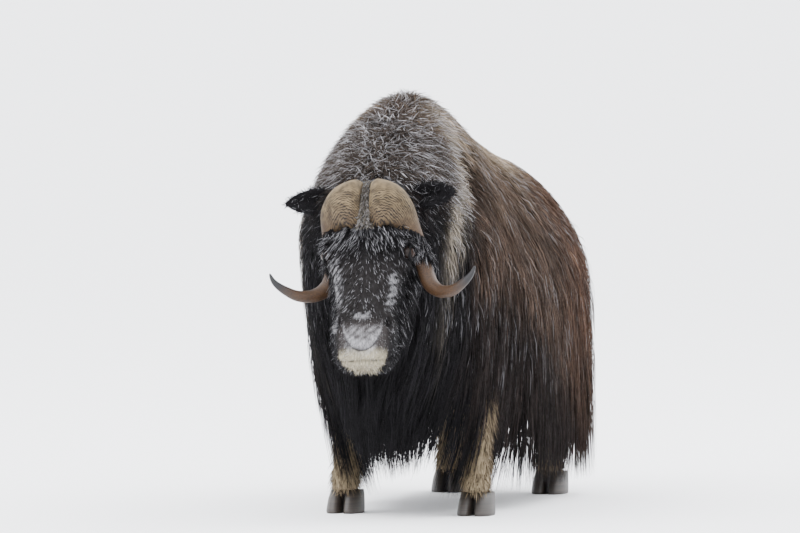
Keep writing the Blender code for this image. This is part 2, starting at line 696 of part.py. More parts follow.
def main():
    for obj in list(bpy.data.objects):
        bpy.data.objects.remove(obj)
    parts = bpy.data.collections.new("muskox")
    tools = bpy.data.collections.new("tools")
    for collection in (parts, tools):
        bpy.context.scene.collection.children.link(collection)

    whole = trunk(tools)
    coat = Coat(whole, tools)
    nape, into_head = in_head(*NAPE_PLACE), head_direction(*NAPE_TURN)

    skull = head(tools)
    halved(skull, nape + into_head * GAP, -into_head)
    lids = [eyelids(side, tools) for side in (1, -1)]
    boolean(skull, lids, "UNION")
    clear = [copied(skull, "clear_skull", tools, CLEARANCE)]

    # Horns, ears and eyes sit on the skull, each cut to its surface.
    for side, word in ((1, "left"), (-1, "right")):
        one = horn(side, tools)
        clear.append(copied(one, "clear_horn", tools, CLEARANCE))
        clear_horn = clear[-1]
        boolean(one, [copied(clear[0], "cut", tools)], "DIFFERENCE")
        finish(one, f"horn_{word}", "horn", parts)
        one = ear(side, tools)
        clear.append(copied(one, "clear_ear", tools, CLEARANCE))
        cutters = [copied(clear[0], "cut", tools), copied(clear_horn, "cut", tools)]
        boolean(one, cutters, "DIFFERENCE")
        finish(one, f"ear_{word}", "coat_dark", parts)
        a, l, n = EYE_PLACE
        eye = ball("eye", (a, l * side, n), (EYE_RADIUS,) * 3, tools)
        finish(eye, f"eye_{word}", "eye", parts)
    cutters = [mouth_cutter(tools)]
    for side in (1, -1):
        a, l, n = EYE_PLACE
        cutters.append(ball("socket", (a, l * side, n), (EYE_RADIUS + CLEARANCE,) * 3, tools))
        a, l, n = NOSTRIL_PLACE
        cutters.append(ball("nostril", (a, l * side, n), NOSTRIL_RADII, tools))
    boolean(skull, cutters, "DIFFERENCE")
    finish(skull, "head", "coat_dark", parts)

    # The neck and its mane, cut free of the head and of what it carries.
    neck = copied(whole, "neck", tools)
    neck_locks(coat)
    boolean(neck, coat.taken(), "UNION")
    boolean(neck, [region((-1, -2, 0), (1, NECK_CUT - GAP, 2), tools)], "INTERSECT", "MANIFOLD")
    for shape in clear:
        boolean(neck, [copied(shape, "cut", tools)], "DIFFERENCE", "MANIFOLD")
    finish(neck, "neck", "coat_dark", parts)

    # The trunk in three lengths on each side, and the legs that stand up into it.
    limbs = {}
    for side, word in ((1, "left"), (-1, "right")):
        for name, x, outline in (("front", FRONT_LEG_X, FRONT_LEG), ("hind", HIND_LEG_X, HIND_LEG)):
            limb = leg(side * x, outline, tools)
            limbs[name, word] = copied(limb, "clear_leg", tools, CLEARANCE)
            finish(limb, f"leg_{name}_{word}", "coat_pale", parts)
            y = outline[-1][0]
            for toe, turn in (("outer", side), ("inner", -side)):
                one = claw(side * x, y, turn, tools)
                finish(one, f"hoof_{name}_{word}_{toe}", "hoof", parts)
    dock = tail(tools)
    clear_dock = copied(dock, "clear_tail", tools, CLEARANCE)
    finish(dock, "tail", "coat_brown", parts)

    for side, word in ((1, "left"), (-1, "right")):
        for name, first, last in SPANS:
            piece = copied(whole, name, tools)
            trunk_locks(coat, name, side, first, last)
            boolean(piece, coat.taken(), "UNION")
            low = (GAP / 2 if side > 0 else -1, first, 0)
            high = (1 if side > 0 else -GAP / 2, last - GAP, 2)
            boolean(piece, [region(low, high, tools)], "INTERSECT", "MANIFOLD")
            if name == "shoulder":
                boolean(piece, [copied(limbs["front", word], "cut", tools)], "DIFFERENCE", "MANIFOLD")
            if name == "rump":
                boolean(piece, [copied(limbs["hind", word], "cut", tools)], "DIFFERENCE", "MANIFOLD")
                boolean(piece, [copied(clear_dock, "cut", tools)], "DIFFERENCE", "MANIFOLD")
            finish(piece, f"{name}_{word}", "coat_brown", parts)

    for obj in list(tools.objects):
        bpy.data.objects.remove(obj)
    bpy.data.collections.remove(tools)
    centre_on_origin(parts)
    print("triangles", {o.name: sum(len(p.vertices) - 2 for p in o.data.polygons) for o in parts.objects})


main()
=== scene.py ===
# %% [markdown]
# A muskox bull, standing still with its head low. The imported solids give every size and stay where
# they are. This script dresses them: one skin, a long coat laid over it lock by lock, the horns with
# their broad boss, the eyes and the hooves.

# %% Load the frame
import json
import math

import bmesh
import bpy
import numpy as np
from mathutils import Matrix, Vector

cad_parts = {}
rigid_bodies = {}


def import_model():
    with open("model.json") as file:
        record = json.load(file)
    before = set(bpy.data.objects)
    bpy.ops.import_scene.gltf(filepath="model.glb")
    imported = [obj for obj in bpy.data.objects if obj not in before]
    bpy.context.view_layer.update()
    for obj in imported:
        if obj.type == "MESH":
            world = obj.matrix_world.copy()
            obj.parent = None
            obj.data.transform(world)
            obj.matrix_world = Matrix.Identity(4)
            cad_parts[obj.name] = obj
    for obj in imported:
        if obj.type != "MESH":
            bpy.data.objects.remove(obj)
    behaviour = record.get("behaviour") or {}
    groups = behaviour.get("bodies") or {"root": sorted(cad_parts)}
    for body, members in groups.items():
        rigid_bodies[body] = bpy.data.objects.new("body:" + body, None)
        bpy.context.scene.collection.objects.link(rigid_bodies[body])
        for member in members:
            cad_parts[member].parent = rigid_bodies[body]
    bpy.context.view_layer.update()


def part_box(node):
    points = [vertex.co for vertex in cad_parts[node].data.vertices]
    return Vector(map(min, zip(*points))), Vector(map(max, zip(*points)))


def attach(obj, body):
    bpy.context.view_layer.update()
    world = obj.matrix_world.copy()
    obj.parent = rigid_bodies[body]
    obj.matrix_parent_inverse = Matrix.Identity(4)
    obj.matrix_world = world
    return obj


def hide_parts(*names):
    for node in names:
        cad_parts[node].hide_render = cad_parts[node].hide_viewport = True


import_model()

# %% [markdown]
# The camera looks at the animal from 16 degrees to its left of dead ahead, a little above the level.
# A long lens from far away keeps the head and the rump in the same scale, as a photograph of a wild
# animal is taken. The scale of the picture, metres for each pixel, sets the lens.

# %% Camera
PHOTO_WIDTH = 800
METRES_PER_PIXEL = 0.0031
VIEW_TURN = math.radians(16)
VIEW_RISE = math.radians(2.5)
VIEW_DISTANCE = 30.0
SENSOR = 36.0
AIM_ACROSS, AIM_HEIGHT = -0.1313, 0.7492

back = Vector((math.sin(VIEW_TURN) * math.cos(VIEW_RISE), -math.cos(VIEW_TURN) * math.cos(VIEW_RISE),
               math.sin(VIEW_RISE)))
aim = Vector((math.cos(VIEW_TURN) * AIM_ACROSS, math.sin(VIEW_TURN) * AIM_ACROSS, AIM_HEIGHT))
camera_data = bpy.data.cameras.new("camera")
camera_data.sensor_width = SENSOR
camera_data.lens = SENSOR * VIEW_DISTANCE / (PHOTO_WIDTH * METRES_PER_PIXEL)
camera_data.clip_end = 600
camera = bpy.data.objects.new("camera", camera_data)
camera.location = aim + back * VIEW_DISTANCE
camera.rotation_euler = back.to_track_quat("Z", "Y").to_euler()
bpy.context.scene.collection.objects.link(camera)
bpy.context.scene.camera = camera
print("lens", round(camera_data.lens, 1), "mm at", VIEW_DISTANCE, "m")

# %% [markdown]
# Colours are written as sRGB hex values, as a paint chart gives them, and one function turns them to
# the linear numbers that the renderer needs. Another adds a node with its settings and its links, so
# that each material below reads as a list of what feeds what. A piece made with bmesh ends the same
# way each time: faces turned outwards and smooth, then a mesh, then an object at the origin.

# %% Helpers for colours, nodes and pieces
SIDES = ((1, "left"), (-1, "right"))
scene_objects = bpy.context.scene.collection.objects


def to_linear(code):
    """An sRGB hex colour as linear red, green and blue."""
    values = [int(code[i:i + 2], 16) / 255 for i in (1, 3, 5)]
    return [v / 12.92 if v <= 0.04045 else ((v + 0.055) / 1.055) ** 2.4 for v in values]


def feed(node, inputs):
    """Sets a node's inputs, each from a plain value, a hex colour, or the node or output that feeds it."""
    for key, value in inputs.items():
        if isinstance(value, bpy.types.Node):
            value = next(output for output in value.outputs if output.enabled)
        if isinstance(value, bpy.types.NodeSocket):
            node.id_data.links.new(value, node.inputs[key])
        else:
            node.inputs[key].default_value = (*to_linear(value), 1) if isinstance(value, str) else value


def add_node(tree, kind, inputs=None, **settings):
    """Adds one shader node with its settings, and feeds its inputs."""
    node = tree.nodes.new("ShaderNode" + kind)
    for name, value in settings.items():
        setattr(node, name, value)
    feed(node, inputs or {})
    return node


def new_material(name, **sockets):
    """A material with its tree and its Principled shader; constants go on the shader's own sockets."""
    material = bpy.data.materials.new(name)
    material.use_nodes = True
    shader = material.node_tree.nodes["Principled BSDF"]
    feed(shader, {key.replace("_", " "): value for key, value in sockets.items()})
    return material, material.node_tree, shader


def finished_mesh(bm, mesh):
    """Ends a bmesh in its mesh, with its faces smooth and turned outwards."""
    bmesh.ops.recalc_face_normals(bm, faces=bm.faces)
    for face in bm.faces:
        face.smooth = True
    bm.to_mesh(mesh)
    bm.free()


def placed(mesh):
    """An object for a mesh, under the same name."""
    piece = bpy.data.objects.new(mesh.name, mesh)
    scene_objects.link(piece)
    return piece


print("a middle grey is", round(to_linear("#808080")[0], 3), "in linear light")

# %% [markdown]
# The setting is a plain pale floor that runs out of sight, under soft light from a bright sky. Two
# large lamps, one high in front and one high on the far side, shape the coat without hard shadows.

# %% Floor and light
FLOOR_HALF = 300
LAMPS = (("key", (-4.0, -7.0, 7.0), 8.0, 900), ("rim", (6.0, 5.0, 7.0), 7.0, 800))
LIT_PLACE = (0, 0, 0.7)
SKY_STRENGTH = 4.6

material, tree, shader = new_material("matt_paper_floor", Roughness=0.9)
grain = add_node(tree, "TexNoise", {"Scale": 3.0, "Detail": 4.0})
tone = add_node(tree, "Mix", {"Factor": grain, "A": "#f1f1f2", "B": "#f6f6f7"}, data_type="RGBA")
feed(shader, {"Base Color": tone})
bm = bmesh.new()
bmesh.ops.create_grid(bm, x_segments=1, y_segments=1, size=FLOOR_HALF)
mesh = bpy.data.meshes.new("floor")
bm.to_mesh(mesh)
bm.free()
mesh.materials.append(material)
floor = placed(mesh)
for name, place, size, power in LAMPS:
    lamp = bpy.data.lights.new(name, "AREA")
    lamp.shape, lamp.size, lamp.energy = "DISK", size, power
    holder = bpy.data.objects.new(name, lamp)
    holder.location = place
    holder.rotation_euler = (Vector(place) - Vector(LIT_PLACE)).to_track_quat("Z", "Y").to_euler()
    scene_objects.link(holder)
world = bpy.data.worlds.new("bright_sky")
world.use_nodes = True
feed(world.node_tree.nodes["Background"], {"Color": "#f4f6fa", "Strength": SKY_STRENGTH})
bpy.context.scene.world = world
print("lamps", [lamp[0] for lamp in LAMPS])

# %% [markdown]
# The animal's form comes from a few outlines, the same ones that the solids were lofted from: heights
# of the back, the belly and the widest line, and widths, each against the distance from head to tail.
# Whole arrays of places go through them at once, which is quick enough for many thousands of roots.

# %% Outlines of the trunk
SHOULDER_HEIGHT = 1.29
TRUNK_HALF_WIDTH = 0.305
BACK_LINE = ((-0.96, 0.745), (-0.86, 0.835), (-0.70, 0.924), (-0.55, 0.977), (-0.40, 1.0), (-0.15, 0.935),
             (0.15, 0.863), (0.45, 0.824), (0.70, 0.771), (0.86, 0.695), (0.94, 0.611), (0.975, 0.534))
BELLY_LINE = ((-0.96, 0.58), (-0.86, 0.481), (-0.70, 0.382), (-0.55, 0.328), (-0.40, 0.313), (-0.15, 0.305),
              (0.15, 0.313), (0.45, 0.328), (0.70, 0.359), (0.86, 0.405), (0.975, 0.458))
WIDEST_LINE = ((-0.96, 0.672), (-0.70, 0.641), (-0.40, 0.565), (-0.15, 0.504), (0.45, 0.496), (0.975, 0.504))
WIDTH_LINE = ((-0.96, 0.33), (-0.86, 0.58), (-0.70, 0.76), (-0.55, 0.86), (-0.40, 0.90), (-0.15, 0.98),
              (0.15, 1.0), (0.45, 0.95), (0.70, 0.82), (0.86, 0.58), (0.94, 0.36), (0.975, 0.15))
PEAK_LINE = ((-0.96, 2.0), (-0.70, 2.0), (-0.40, 1.85), (-0.15, 1.8), (0.15, 2.0), (0.975, 2.0))
TRUNK_FRONT, TRUNK_REAR = BACK_LINE[0][0], BACK_LINE[-1][0]


def along(outline, places):
    """The outline's values at an array of places, by a smooth curve through its points."""
    x, y = np.array(outline, float).T
    ends = np.arange(len(x))
    low, high = np.maximum(ends - 1, 0), np.minimum(ends + 1, len(x) - 1)
    slope = (y[high] - y[low]) / (x[high] - x[low])
    at = np.clip(places, x[0], x[-1])
    k = np.clip(np.searchsorted(x, at, side="right") - 1, 0, len(x) - 2)
    span = x[k + 1] - x[k]
    t = (at - x[k]) / span
    return ((2 * t ** 3 - 3 * t ** 2 + 1) * y[k] + (t ** 3 - 2 * t ** 2 + t) * span * slope[k]
            + (3 * t ** 2 - 2 * t ** 3) * y[k + 1] + (t ** 3 - t ** 2) * span * slope[k + 1])


def signed_power(value, power):
    return np.sign(value) * np.abs(value) ** power


def smooth_step(low, high, value):
    """0 below low, 1 above high, with a soft change between; low may be the larger one."""
    t = np.clip((value - low) / (high - low), 0, 1)
    return t * t * (3 - 2 * t)


def unit(vectors):
    return vectors / np.maximum(np.linalg.norm(vectors, axis=-1, keepdims=True), 1e-12)


def trunk_surface(y, turn, inset=0.0):
    """Points on the trunk at places y and turns round it, from 0 under the belly to 0.5 on the ridge."""
    half_width = TRUNK_HALF_WIDTH * along(WIDTH_LINE, y) - inset
    top = SHOULDER_HEIGHT * along(BACK_LINE, y) - inset
    bottom = SHOULDER_HEIGHT * along(BELLY_LINE, y) + inset
    widest = SHOULDER_HEIGHT * along(WIDEST_LINE, y)
    side, rise = np.sin(2 * np.pi * turn), -np.cos(2 * np.pi * turn)
    power = np.where(rise > 0, 2 / along(PEAK_LINE, y), 1.0)
    height = np.where(rise > 0, top - widest, widest - bottom)
    return np.stack([half_width * signed_power(side, power), y,
                     widest + height * signed_power(rise, power)], -1)


print("ridge at the shoulder", trunk_surface(np.array([-0.4]), np.array([0.5])).round(3))

# %% [markdown]
# The head is drawn on its own axes: a runs from the poll down the face, l to the animal's left and n
# out of the face. One matrix carries them to the body. The left eye's centre is known in both, so the
# step between the outlines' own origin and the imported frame's is read off there.

# %% Axes of the head
POLL = Vector((0.031, -0.885, 0.985))
HEAD_YAW, HEAD_TILT, HEAD_ROLL = math.radians(5), math.radians(30), math.radians(2.6)
EYE_PLACE = (0.206, 0.124, 0.036)
EYE_RADIUS = 0.020

forward = Vector((math.sin(HEAD_YAW), -math.cos(HEAD_YAW), 0))
upright = Vector((0, 0, 1))
down_face = forward * math.sin(HEAD_TILT) - upright * math.cos(HEAD_TILT)
out_of_face = forward * math.cos(HEAD_TILT) + upright * math.sin(HEAD_TILT)
leftward = Vector((math.cos(HEAD_YAW), math.sin(HEAD_YAW), 0))
axes = Matrix.Rotation(HEAD_ROLL, 3, forward) @ Matrix((down_face, leftward, out_of_face)).transposed()
HEAD_AXES = np.array(axes)
POLL_PLACE = np.array(POLL)


def in_head(points):
    """Points given as (a, l, n), in the outlines' frame."""
    return np.asarray(points, float) @ HEAD_AXES.T + POLL_PLACE


def to_head(points):
    """Points of the outlines' frame, as (a, l, n)."""
    return (points - POLL_PLACE) @ HEAD_AXES


low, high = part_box("eye_left")
SHIFT = np.array((low + high) / 2) - in_head(EYE_PLACE)
print("step to the packed frame", SHIFT.round(5))

# %% [markdown]
# Coat and skin carry the same markings, worked out from a place on the animal alone: a near-black face,
# throat, chest and foreleg, a grey-brown mane with frosted tips and a pale edge, red-brown flanks, a pale
# saddle, pale lips and pale legs. Smooth steps between zones keep hard edges out of the hair. The frost
# is a chance for each tuft to have a white tip, highest along the bridge of the nose and on its pad.

# %% Markings
TONES = {name: np.array(to_linear(code)) for name, code in {
    "black": "#0c0b0d", "charcoal": "#1f1c1b", "brown": "#372c25", "red_brown": "#3a2a21",
    "deep_brown": "#19120f", "wool": "#38312c", "tan": "#8c7b65", "cream": "#7d6f58", "curtain": "#8d8375",
    "lip": "#857e6c", "frost": "#bcbbbf", "nose": "#383433"}.items()}
# The pale edge of the mane: where its middle lies along the body at each height.
CURTAIN = ((0.68, -0.75), (0.90, -0.72), (1.00, -0.64), (1.10, -0.56), (1.30, -0.47))
# How far back the black of the chest reaches at each height.
BLACK_EDGE = ((0.08, 0.62), (0.18, 0.54), (0.34, 0.26), (0.55, -0.10), (0.66, -0.38), (0.72, -0.55))
# How far down the face the nose pad reaches, and where the bridge's edge lies, against l and a.
PAD_EDGE = ((0.0, 0.530), (0.015, 0.528), (0.030, 0.520), (0.044, 0.503), (0.056, 0.480), (0.066, 0.450))
BRIDGE_EDGE = ((0.20, 0.100), (0.30, 0.090), (0.38, 0.080), (0.42, 0.070))
NOSTRIL_PLACE, NOSTRIL_SPREAD = (0.440, 0.077, 0.038), (0.017, 0.011, 0.012)


def swell(value, middle, spread):
    """1 where a value is at the middle, falling off to both sides like a bell."""
    return np.exp(-((value - middle) / spread) ** 2)


def nostril_reach(places):
    """How far each place is from the middle of the nearer nostril, 1 at its rim."""
    mirrored = places * [1, 0, 1] + np.abs(places) * [0, 1, 0]
    return np.linalg.norm((mirrored - NOSTRIL_PLACE) / NOSTRIL_SPREAD, axis=1)


def blended(colours, tone, share):
    """Colours moved towards one tone by a share for each."""
    return colours + (TONES[tone] - colours) * share[:, None]


def body_marking(points):
    """The coat's colour at places on the trunk and neck, and how frosted it is."""
    x, y, z = np.abs(points[:, 0]), points[:, 1], points[:, 2]
    mane = smooth_step(-0.54, -0.66, y)
    hump = swell(y, -0.42, 0.17) * smooth_step(1.02, 1.2, z)
    stripe = 0.5 + 0.5 * np.sin(y * 120 + 4 * np.sin(z * 17))
    chest = smooth_step(0.09, -0.07, y - along(BLACK_EDGE, z)) * smooth_step(0.72, 0.62, z)
    saddle = swell(y, 0.14, 0.27) * smooth_step(1.01, 1.08, z)
    curtain = swell(y, along(CURTAIN, z), 0.034) * smooth_step(0.70, 0.85, z) * smooth_step(0.05, 0.14, x)
    colours = np.tile(TONES["brown"], (len(points), 1))
    for tone, share in (("red_brown", smooth_step(0.0, 0.5, y) * smooth_step(0.2, 0.6, z)),
                        ("deep_brown", smooth_step(0.50, 0.20, z) * 0.6), ("wool", hump * 0.7),
                        ("tan", hump * smooth_step(0.02, 0.08, x) * stripe * 0.6),
                        ("wool", mane * smooth_step(0.92, 1.06, z)),
                        ("black", mane * smooth_step(1.05, 0.93, z)), ("black", chest),
                        ("tan", saddle * 0.85), ("curtain", curtain * (0.55 + 0.4 * stripe))):
        colours = blended(colours, tone, share)
    frost = 0.07 * (1 - 0.5 * chest) + 0.25 * mane * smooth_step(0.92, 1.05, z)
    frost = frost + 0.35 * saddle + 0.4 * curtain + 0.25 * hump
    return colours, np.clip(frost, 0, 0.9)


def head_marking(places):
    """The same for places on the head, given as (a, l, n)."""
    a, side, n = places.T
    l = np.abs(side)
    front = smooth_step(0.0, 0.04, n)
    muzzle = smooth_step(0.42, 0.47, a) * smooth_step(-0.02, 0.01, n) * smooth_step(0.085, 0.06, l)
    lips = smooth_step(-0.004, 0.004, a - along(PAD_EDGE, l)) * smooth_step(0.084, 0.066, l)
    lips = lips * smooth_step(-0.052, -0.038, n - 11 * l ** 2)
    lips = lips * smooth_step(0.490, 0.520, a - 0.022 * smooth_step(-0.01, 0.02, n))
    colours = np.tile(TONES["black"], (len(places), 1))
    charcoal = smooth_step(0.16, 0.30, a) * front * 0.6
    for tone, share in (("charcoal", charcoal), ("nose", muzzle * 0.8), ("lip", lips)):
        colours = blended(colours, tone, share)
    broken = 0.5 + 0.5 * np.sin(a * 95 + side * 60) * np.sin(side * 150 + 3 * np.sin(a * 70))
    patchy = np.clip(broken + 0.25 * np.sin(a * 310 + side * 240), 0, 1)
    edge = swell(l, along(BRIDGE_EDGE, a), 0.016) * smooth_step(0.20, 0.25, a) * smooth_step(0.41, 0.36, a)
    edge = edge * np.where(side > 0, smooth_step(0.26, 0.30, a), 1.0)
    above_nose = swell(a, 0.425, 0.012) * smooth_step(0.045, 0.02, l) * 0.8
    rim = swell(nostril_reach(places), 1.4, 0.5) * (l > 0.080) * np.where(side < 0, 0.9, 0.3)
    pad = smooth_step(0.44, 0.47, a) * smooth_step(0.065, 0.040, l) * 0.55
    lumps = np.maximum.reduce([edge, above_nose, rim]) * (0.35 + 0.65 * patchy)
    frost = np.maximum(lumps, pad * 0.7) * front
    brow = smooth_step(0.22, 0.15, a) * 0.22
    return colours, np.clip(0.14 + brow + 0.28 * patchy * front + 0.85 * frost, 0, 0.95)


print("tones", len(TONES))

# %% [markdown]
# The skin could be sculpted by hand, or grown by a remesh over rough forms. Here each part of it is a
# grid that one function bends into a tube, since a tube knows its own unwrap: along it and round it.
# The tubes are then united to one closed skin. It lies under the trunk's outline by the depth of the
# coat, and shows itself only on the muzzle and round the eyes.

# %% Tubes with their unwrap
# Each tube's tile in the skin's unwrap: corner, width and height.
UNWRAP = {"trunk": (0.01, 0.01, 0.60, 0.60), "head": (0.63, 0.01, 0.36, 0.36),
          "tail": (0.63, 0.39, 0.10, 0.08),
          "ear_left": (0.75, 0.39, 0.11, 0.08), "ear_right": (0.87, 0.39, 0.11, 0.08),
          "leg_front_left": (0.01, 0.63, 0.22, 0.18), "leg_front_right": (0.25, 0.63, 0.22, 0.18),
          "leg_hind_left": (0.49, 0.63, 0.22, 0.18), "leg_hind_right": (0.73, 0.63, 0.22, 0.18)}


def unwrapped(tile, s, t):
    """The place of (s, t) of a tube in the skin's unwrap."""
    u, v, wide, tall = UNWRAP[tile]
    return np.stack([u + s * wide, v + t * tall], -1)


def give_tint(mesh, name, kind, values):
    """Stores one value or colour for each point of a mesh, for its material to read."""
    attribute = mesh.attributes.new(name, kind, "POINT")
    key = "color" if kind == "FLOAT_COLOR" else "vector" if kind == "FLOAT_VECTOR" else "value"
    attribute.data.foreach_set(key, np.ascontiguousarray(values, np.float32).ravel())


def tube(name, rows, columns, surface, tile=None, tint=None, facts=None):
    """A closed body from a grid: surface(s, t) places its points, s along it and t round it."""
    bm = bmesh.new()
    bmesh.ops.create_grid(bm, x_segments=rows, y_segments=columns, size=0.5)
    mesh = bpy.data.meshes.new(name)
    bm.to_mesh(mesh)
    flat = np.empty(len(mesh.vertices) * 3, np.float32)
    mesh.vertices.foreach_get("co", flat)
    s, t = np.round(flat.reshape(-1, 3)[:, :2].T.astype(float) + 0.5, 6)
    points = surface(s, t)
    mesh.vertices.foreach_set("co", (points + SHIFT).astype(np.float32).ravel())
    if tile:
        corners = np.empty(len(mesh.loops), np.int32)
        mesh.loops.foreach_get("vertex_index", corners)
        layer = mesh.uv_layers.new(name="OFBake")
        layer.data.foreach_set("uv", unwrapped(tile, s, t)[corners].astype(np.float32).ravel())
    if tint:
        give_tint(mesh, "tint", "FLOAT_COLOR", tint(points, s, t))
    for key, maker in (facts or {}).items():
        give_tint(mesh, key, "FLOAT_VECTOR", maker(s, t))
    bm.clear()
    bm.from_mesh(mesh)
    bmesh.ops.remove_doubles(bm, verts=bm.verts, dist=1e-5)
    bmesh.ops.dissolve_degenerate(bm, dist=1e-6, edges=bm.edges)
    finished_mesh(bm, mesh)
    return placed(mesh)


def with_alpha(colours):
    return np.column_stack([colours, np.ones(len(colours))])


def plain_tint(tone, strength=1.0):
    """A tint function that gives every point the same tone."""
    return lambda points, s, t: with_alpha(np.tile(TONES[tone] * strength, (len(points), 1)))


def circle(t):
    """Cosine and sine of the turn t."""
    return np.cos(2 * np.pi * t), np.sin(2 * np.pi * t)


def rounded_ends(s, share):
    """How far a tube has opened at s: 0 at both ends, 1 beyond a share of its length from them."""
    edge = np.clip(np.minimum(s, 1 - s) / share, 0, 1)
    return np.sqrt(np.clip(1 - (1 - edge) ** 2, 0, 1))


print("tiles of the unwrap", len(UNWRAP))

# %% Skin of the trunk
SKIN_DEPTH = 0.020


def trunk_skin(s, t):
    y = TRUNK_FRONT + 0.01 + (TRUNK_REAR - TRUNK_FRONT - 0.02) * s
    points = trunk_surface(y, t, SKIN_DEPTH)
    middle = np.stack([0 * y, y, SHOULDER_HEIGHT * along(WIDEST_LINE, y)], -1)
    return middle + (points - middle) * rounded_ends(s, 0.03)[:, None]


def body_tint(strength):
    """A tint function from the coat's own markings."""
    return lambda points, s, t: with_alpha(body_marking(points)[0] * strength)


skin_parts = [tube("skin_trunk", 120, 96, trunk_skin, "trunk", body_tint(0.7))]
print("trunk skin", len(skin_parts[0].data.polygons), "faces")

# %% [markdown]
# A bovine head is a long box with soft corners: a broad brow, a straight nose, deep cheeks and a square
# muzzle. The outlines give the box, soft swellings give brow, eye rims, nostril wings, lips and chin, and
# hollows are pressed in for the sockets, the nostrils and the line of the mouth. The rows crowd together
# at the eyes and the muzzle, where the small forms are.

# %% Form of the head
HEAD_WIDTH = ((-0.08, 0.088), (0.03, 0.120), (0.12, 0.131), (0.21, 0.129), (0.30, 0.110),
              (0.38, 0.095), (0.46, 0.096), (0.52, 0.090), (0.55, 0.070), (0.562, 0.032))
HEAD_DORSAL = ((-0.08, 0.030), (0.03, 0.074), (0.12, 0.090), (0.21, 0.088), (0.30, 0.073),
               (0.38, 0.064), (0.46, 0.059), (0.52, 0.042), (0.55, 0.018), (0.562, -0.005))
HEAD_VENTRAL = ((-0.08, 0.10), (0.03, 0.13), (0.12, 0.158), (0.21, 0.160), (0.30, 0.136),
                (0.38, 0.112), (0.46, 0.100), (0.52, 0.092), (0.55, 0.066), (0.562, 0.036))
HEAD_ROWS = ((0.0, -0.08), (0.14, 0.13), (0.44, 0.29), (0.60, 0.43), (0.95, 0.558), (1.0, 0.562))
HEAD_MIDDLE = -0.02
SWELLINGS = (((0.186, 0.127, 0.052), 0.022, 0.030), ((0.234, 0.122, 0.028), 0.011, 0.024),
             ((0.448, 0.088, 0.028), 0.012, 0.020), ((0.530, 0.050, 0.000), 0.012, 0.022),
             ((0.535, 0.034, -0.070), 0.010, 0.024), ((0.190, 0.110, -0.085), 0.012, 0.050))
PARTING_RISE = 0.042
NOSTRIL_DEPTH = 0.022
MOUTH_POINTS = ((0.455, 0.093, -0.044), (0.505, 0.093, -0.026), (0.527, 0.088, -0.012),
                (0.5425, 0.077, 0.000), (0.550, 0.057, 0.0085), (0.553, 0.020, 0.0125), (0.553, 0.0, 0.0136))


def distance_to_line(points, line):
    """How far each point is from a bent line."""
    nearest = np.full(len(points), np.inf)
    for a, b in zip(np.array(line[:-1]), np.array(line[1:])):
        t = np.clip((points - a) @ (b - a) / ((b - a) @ (b - a)), 0, 1)
        nearest = np.minimum(nearest, np.linalg.norm(points - a - t[:, None] * (b - a), axis=1))
    return nearest


def head_places(s, t):
    """Points of the head's skin as (a, l, n)."""
    at = along(HEAD_ROWS, s)
    angle = 2 * np.pi * t
    side, rise = signed_power(np.sin(angle), 0.9), signed_power(-np.cos(angle), 0.9)
    open_share = rounded_ends(s, 0.035)
    height = np.where(rise > 0, along(HEAD_DORSAL, at) - HEAD_MIDDLE, along(HEAD_VENTRAL, at) + HEAD_MIDDLE)
    points = np.stack([at, along(HEAD_WIDTH, at) * side * open_share,
                       HEAD_MIDDLE + height * rise * open_share], -1)
    out = unit(np.stack([np.clip(points[:, 0] - 0.5, 0, 1) * 1.5, points[:, 1], points[:, 2] + 0.03], -1))
    mirrored = points * [1, -1, 1]
    moved = points.copy()
    for place, height, reach in SWELLINGS:
        for at_side in (points, mirrored):
            away = np.linalg.norm(at_side - place, axis=1)
            moved += out * (height * swell(away, 0, reach))[:, None]
    for at_side in (points, mirrored):
        away = np.linalg.norm((at_side - NOSTRIL_PLACE) / NOSTRIL_SPREAD, axis=1)
        moved -= out * (NOSTRIL_DEPTH * np.exp(-away ** 4))[:, None]
        moved += out * (0.004 * swell(away, 1.5, 0.4))[:, None]
        away = np.linalg.norm((at_side - EYE_PLACE) / (1, 1, 0.9), axis=1)
        moved -= out * (0.010 * np.exp(-(away / 0.022) ** 4))[:, None]
    strip = np.exp(-(moved[:, 1] / 0.0125) ** 4) * smooth_step(-0.05, 0.0, moved[:, 0])
    moved[:, 2] += PARTING_RISE * strip * smooth_step(0.165, 0.13, moved[:, 0]) * (moved[:, 2] > 0.03)
    away = np.minimum(*(distance_to_line(moved * [1, side, 1], MOUTH_POINTS) for side in (1, -1)))
    moved -= out * (0.007 * swell(away, 0, 0.0035) - 0.003 * swell(away, 0.011, 0.006))[:, None]
    a, l = moved[:, 0], moved[:, 1]
    wrinkles = np.sin(a * 330 + 4 * np.sin(l * 40)) * smooth_step(0.47, 0.52, a)
    return moved + out * (0.0006 * wrinkles)[:, None]


def head_tint(points, s, t):
    """Colours of the bare skin: frosted along the pad's lower rim, with painted shade in the nostrils, in
    the line of the mouth and in the fold at that rim.
    """
    places = to_head(points)
    a, l, n = places[:, 0], np.abs(places[:, 1]), places[:, 2]
    colours, frost = head_marking(places)
    rim = along(PAD_EDGE, l) - a
    mouth_shade = swell(distance_to_line(np.stack([a, l, n], -1), MOUTH_POINTS), 0, 0.0032)
    colours = blended(colours * 0.85, "frost", smooth_step(0.35, 0.9, frost) * 0.30)
    # Painted shade: a dark line in the fold at the pad's lower rim, in the line of the mouth and in the
    # nostrils.
    for tone, share in (("frost", swell(rim, 0.014, 0.012) * (n > 0) * (l < 0.06) * 0.25),
                        ("black", swell(rim, 0, 0.0025) * (n > 0) * (l < 0.075) * 0.9),
                        ("black", mouth_shade * (0.35 + 0.6 * smooth_step(0.055, 0.030, l))),
                        ("black", smooth_step(1.15, 0.85, nostril_reach(places)))):
        colours = blended(colours, tone, share)
    return with_alpha(colours)


skin_parts.append(tube("skin_head", 230, 176, lambda s, t: in_head(head_places(s, t)), "head", head_tint))
print("head skin", len(skin_parts[-1].data.polygons), "faces")

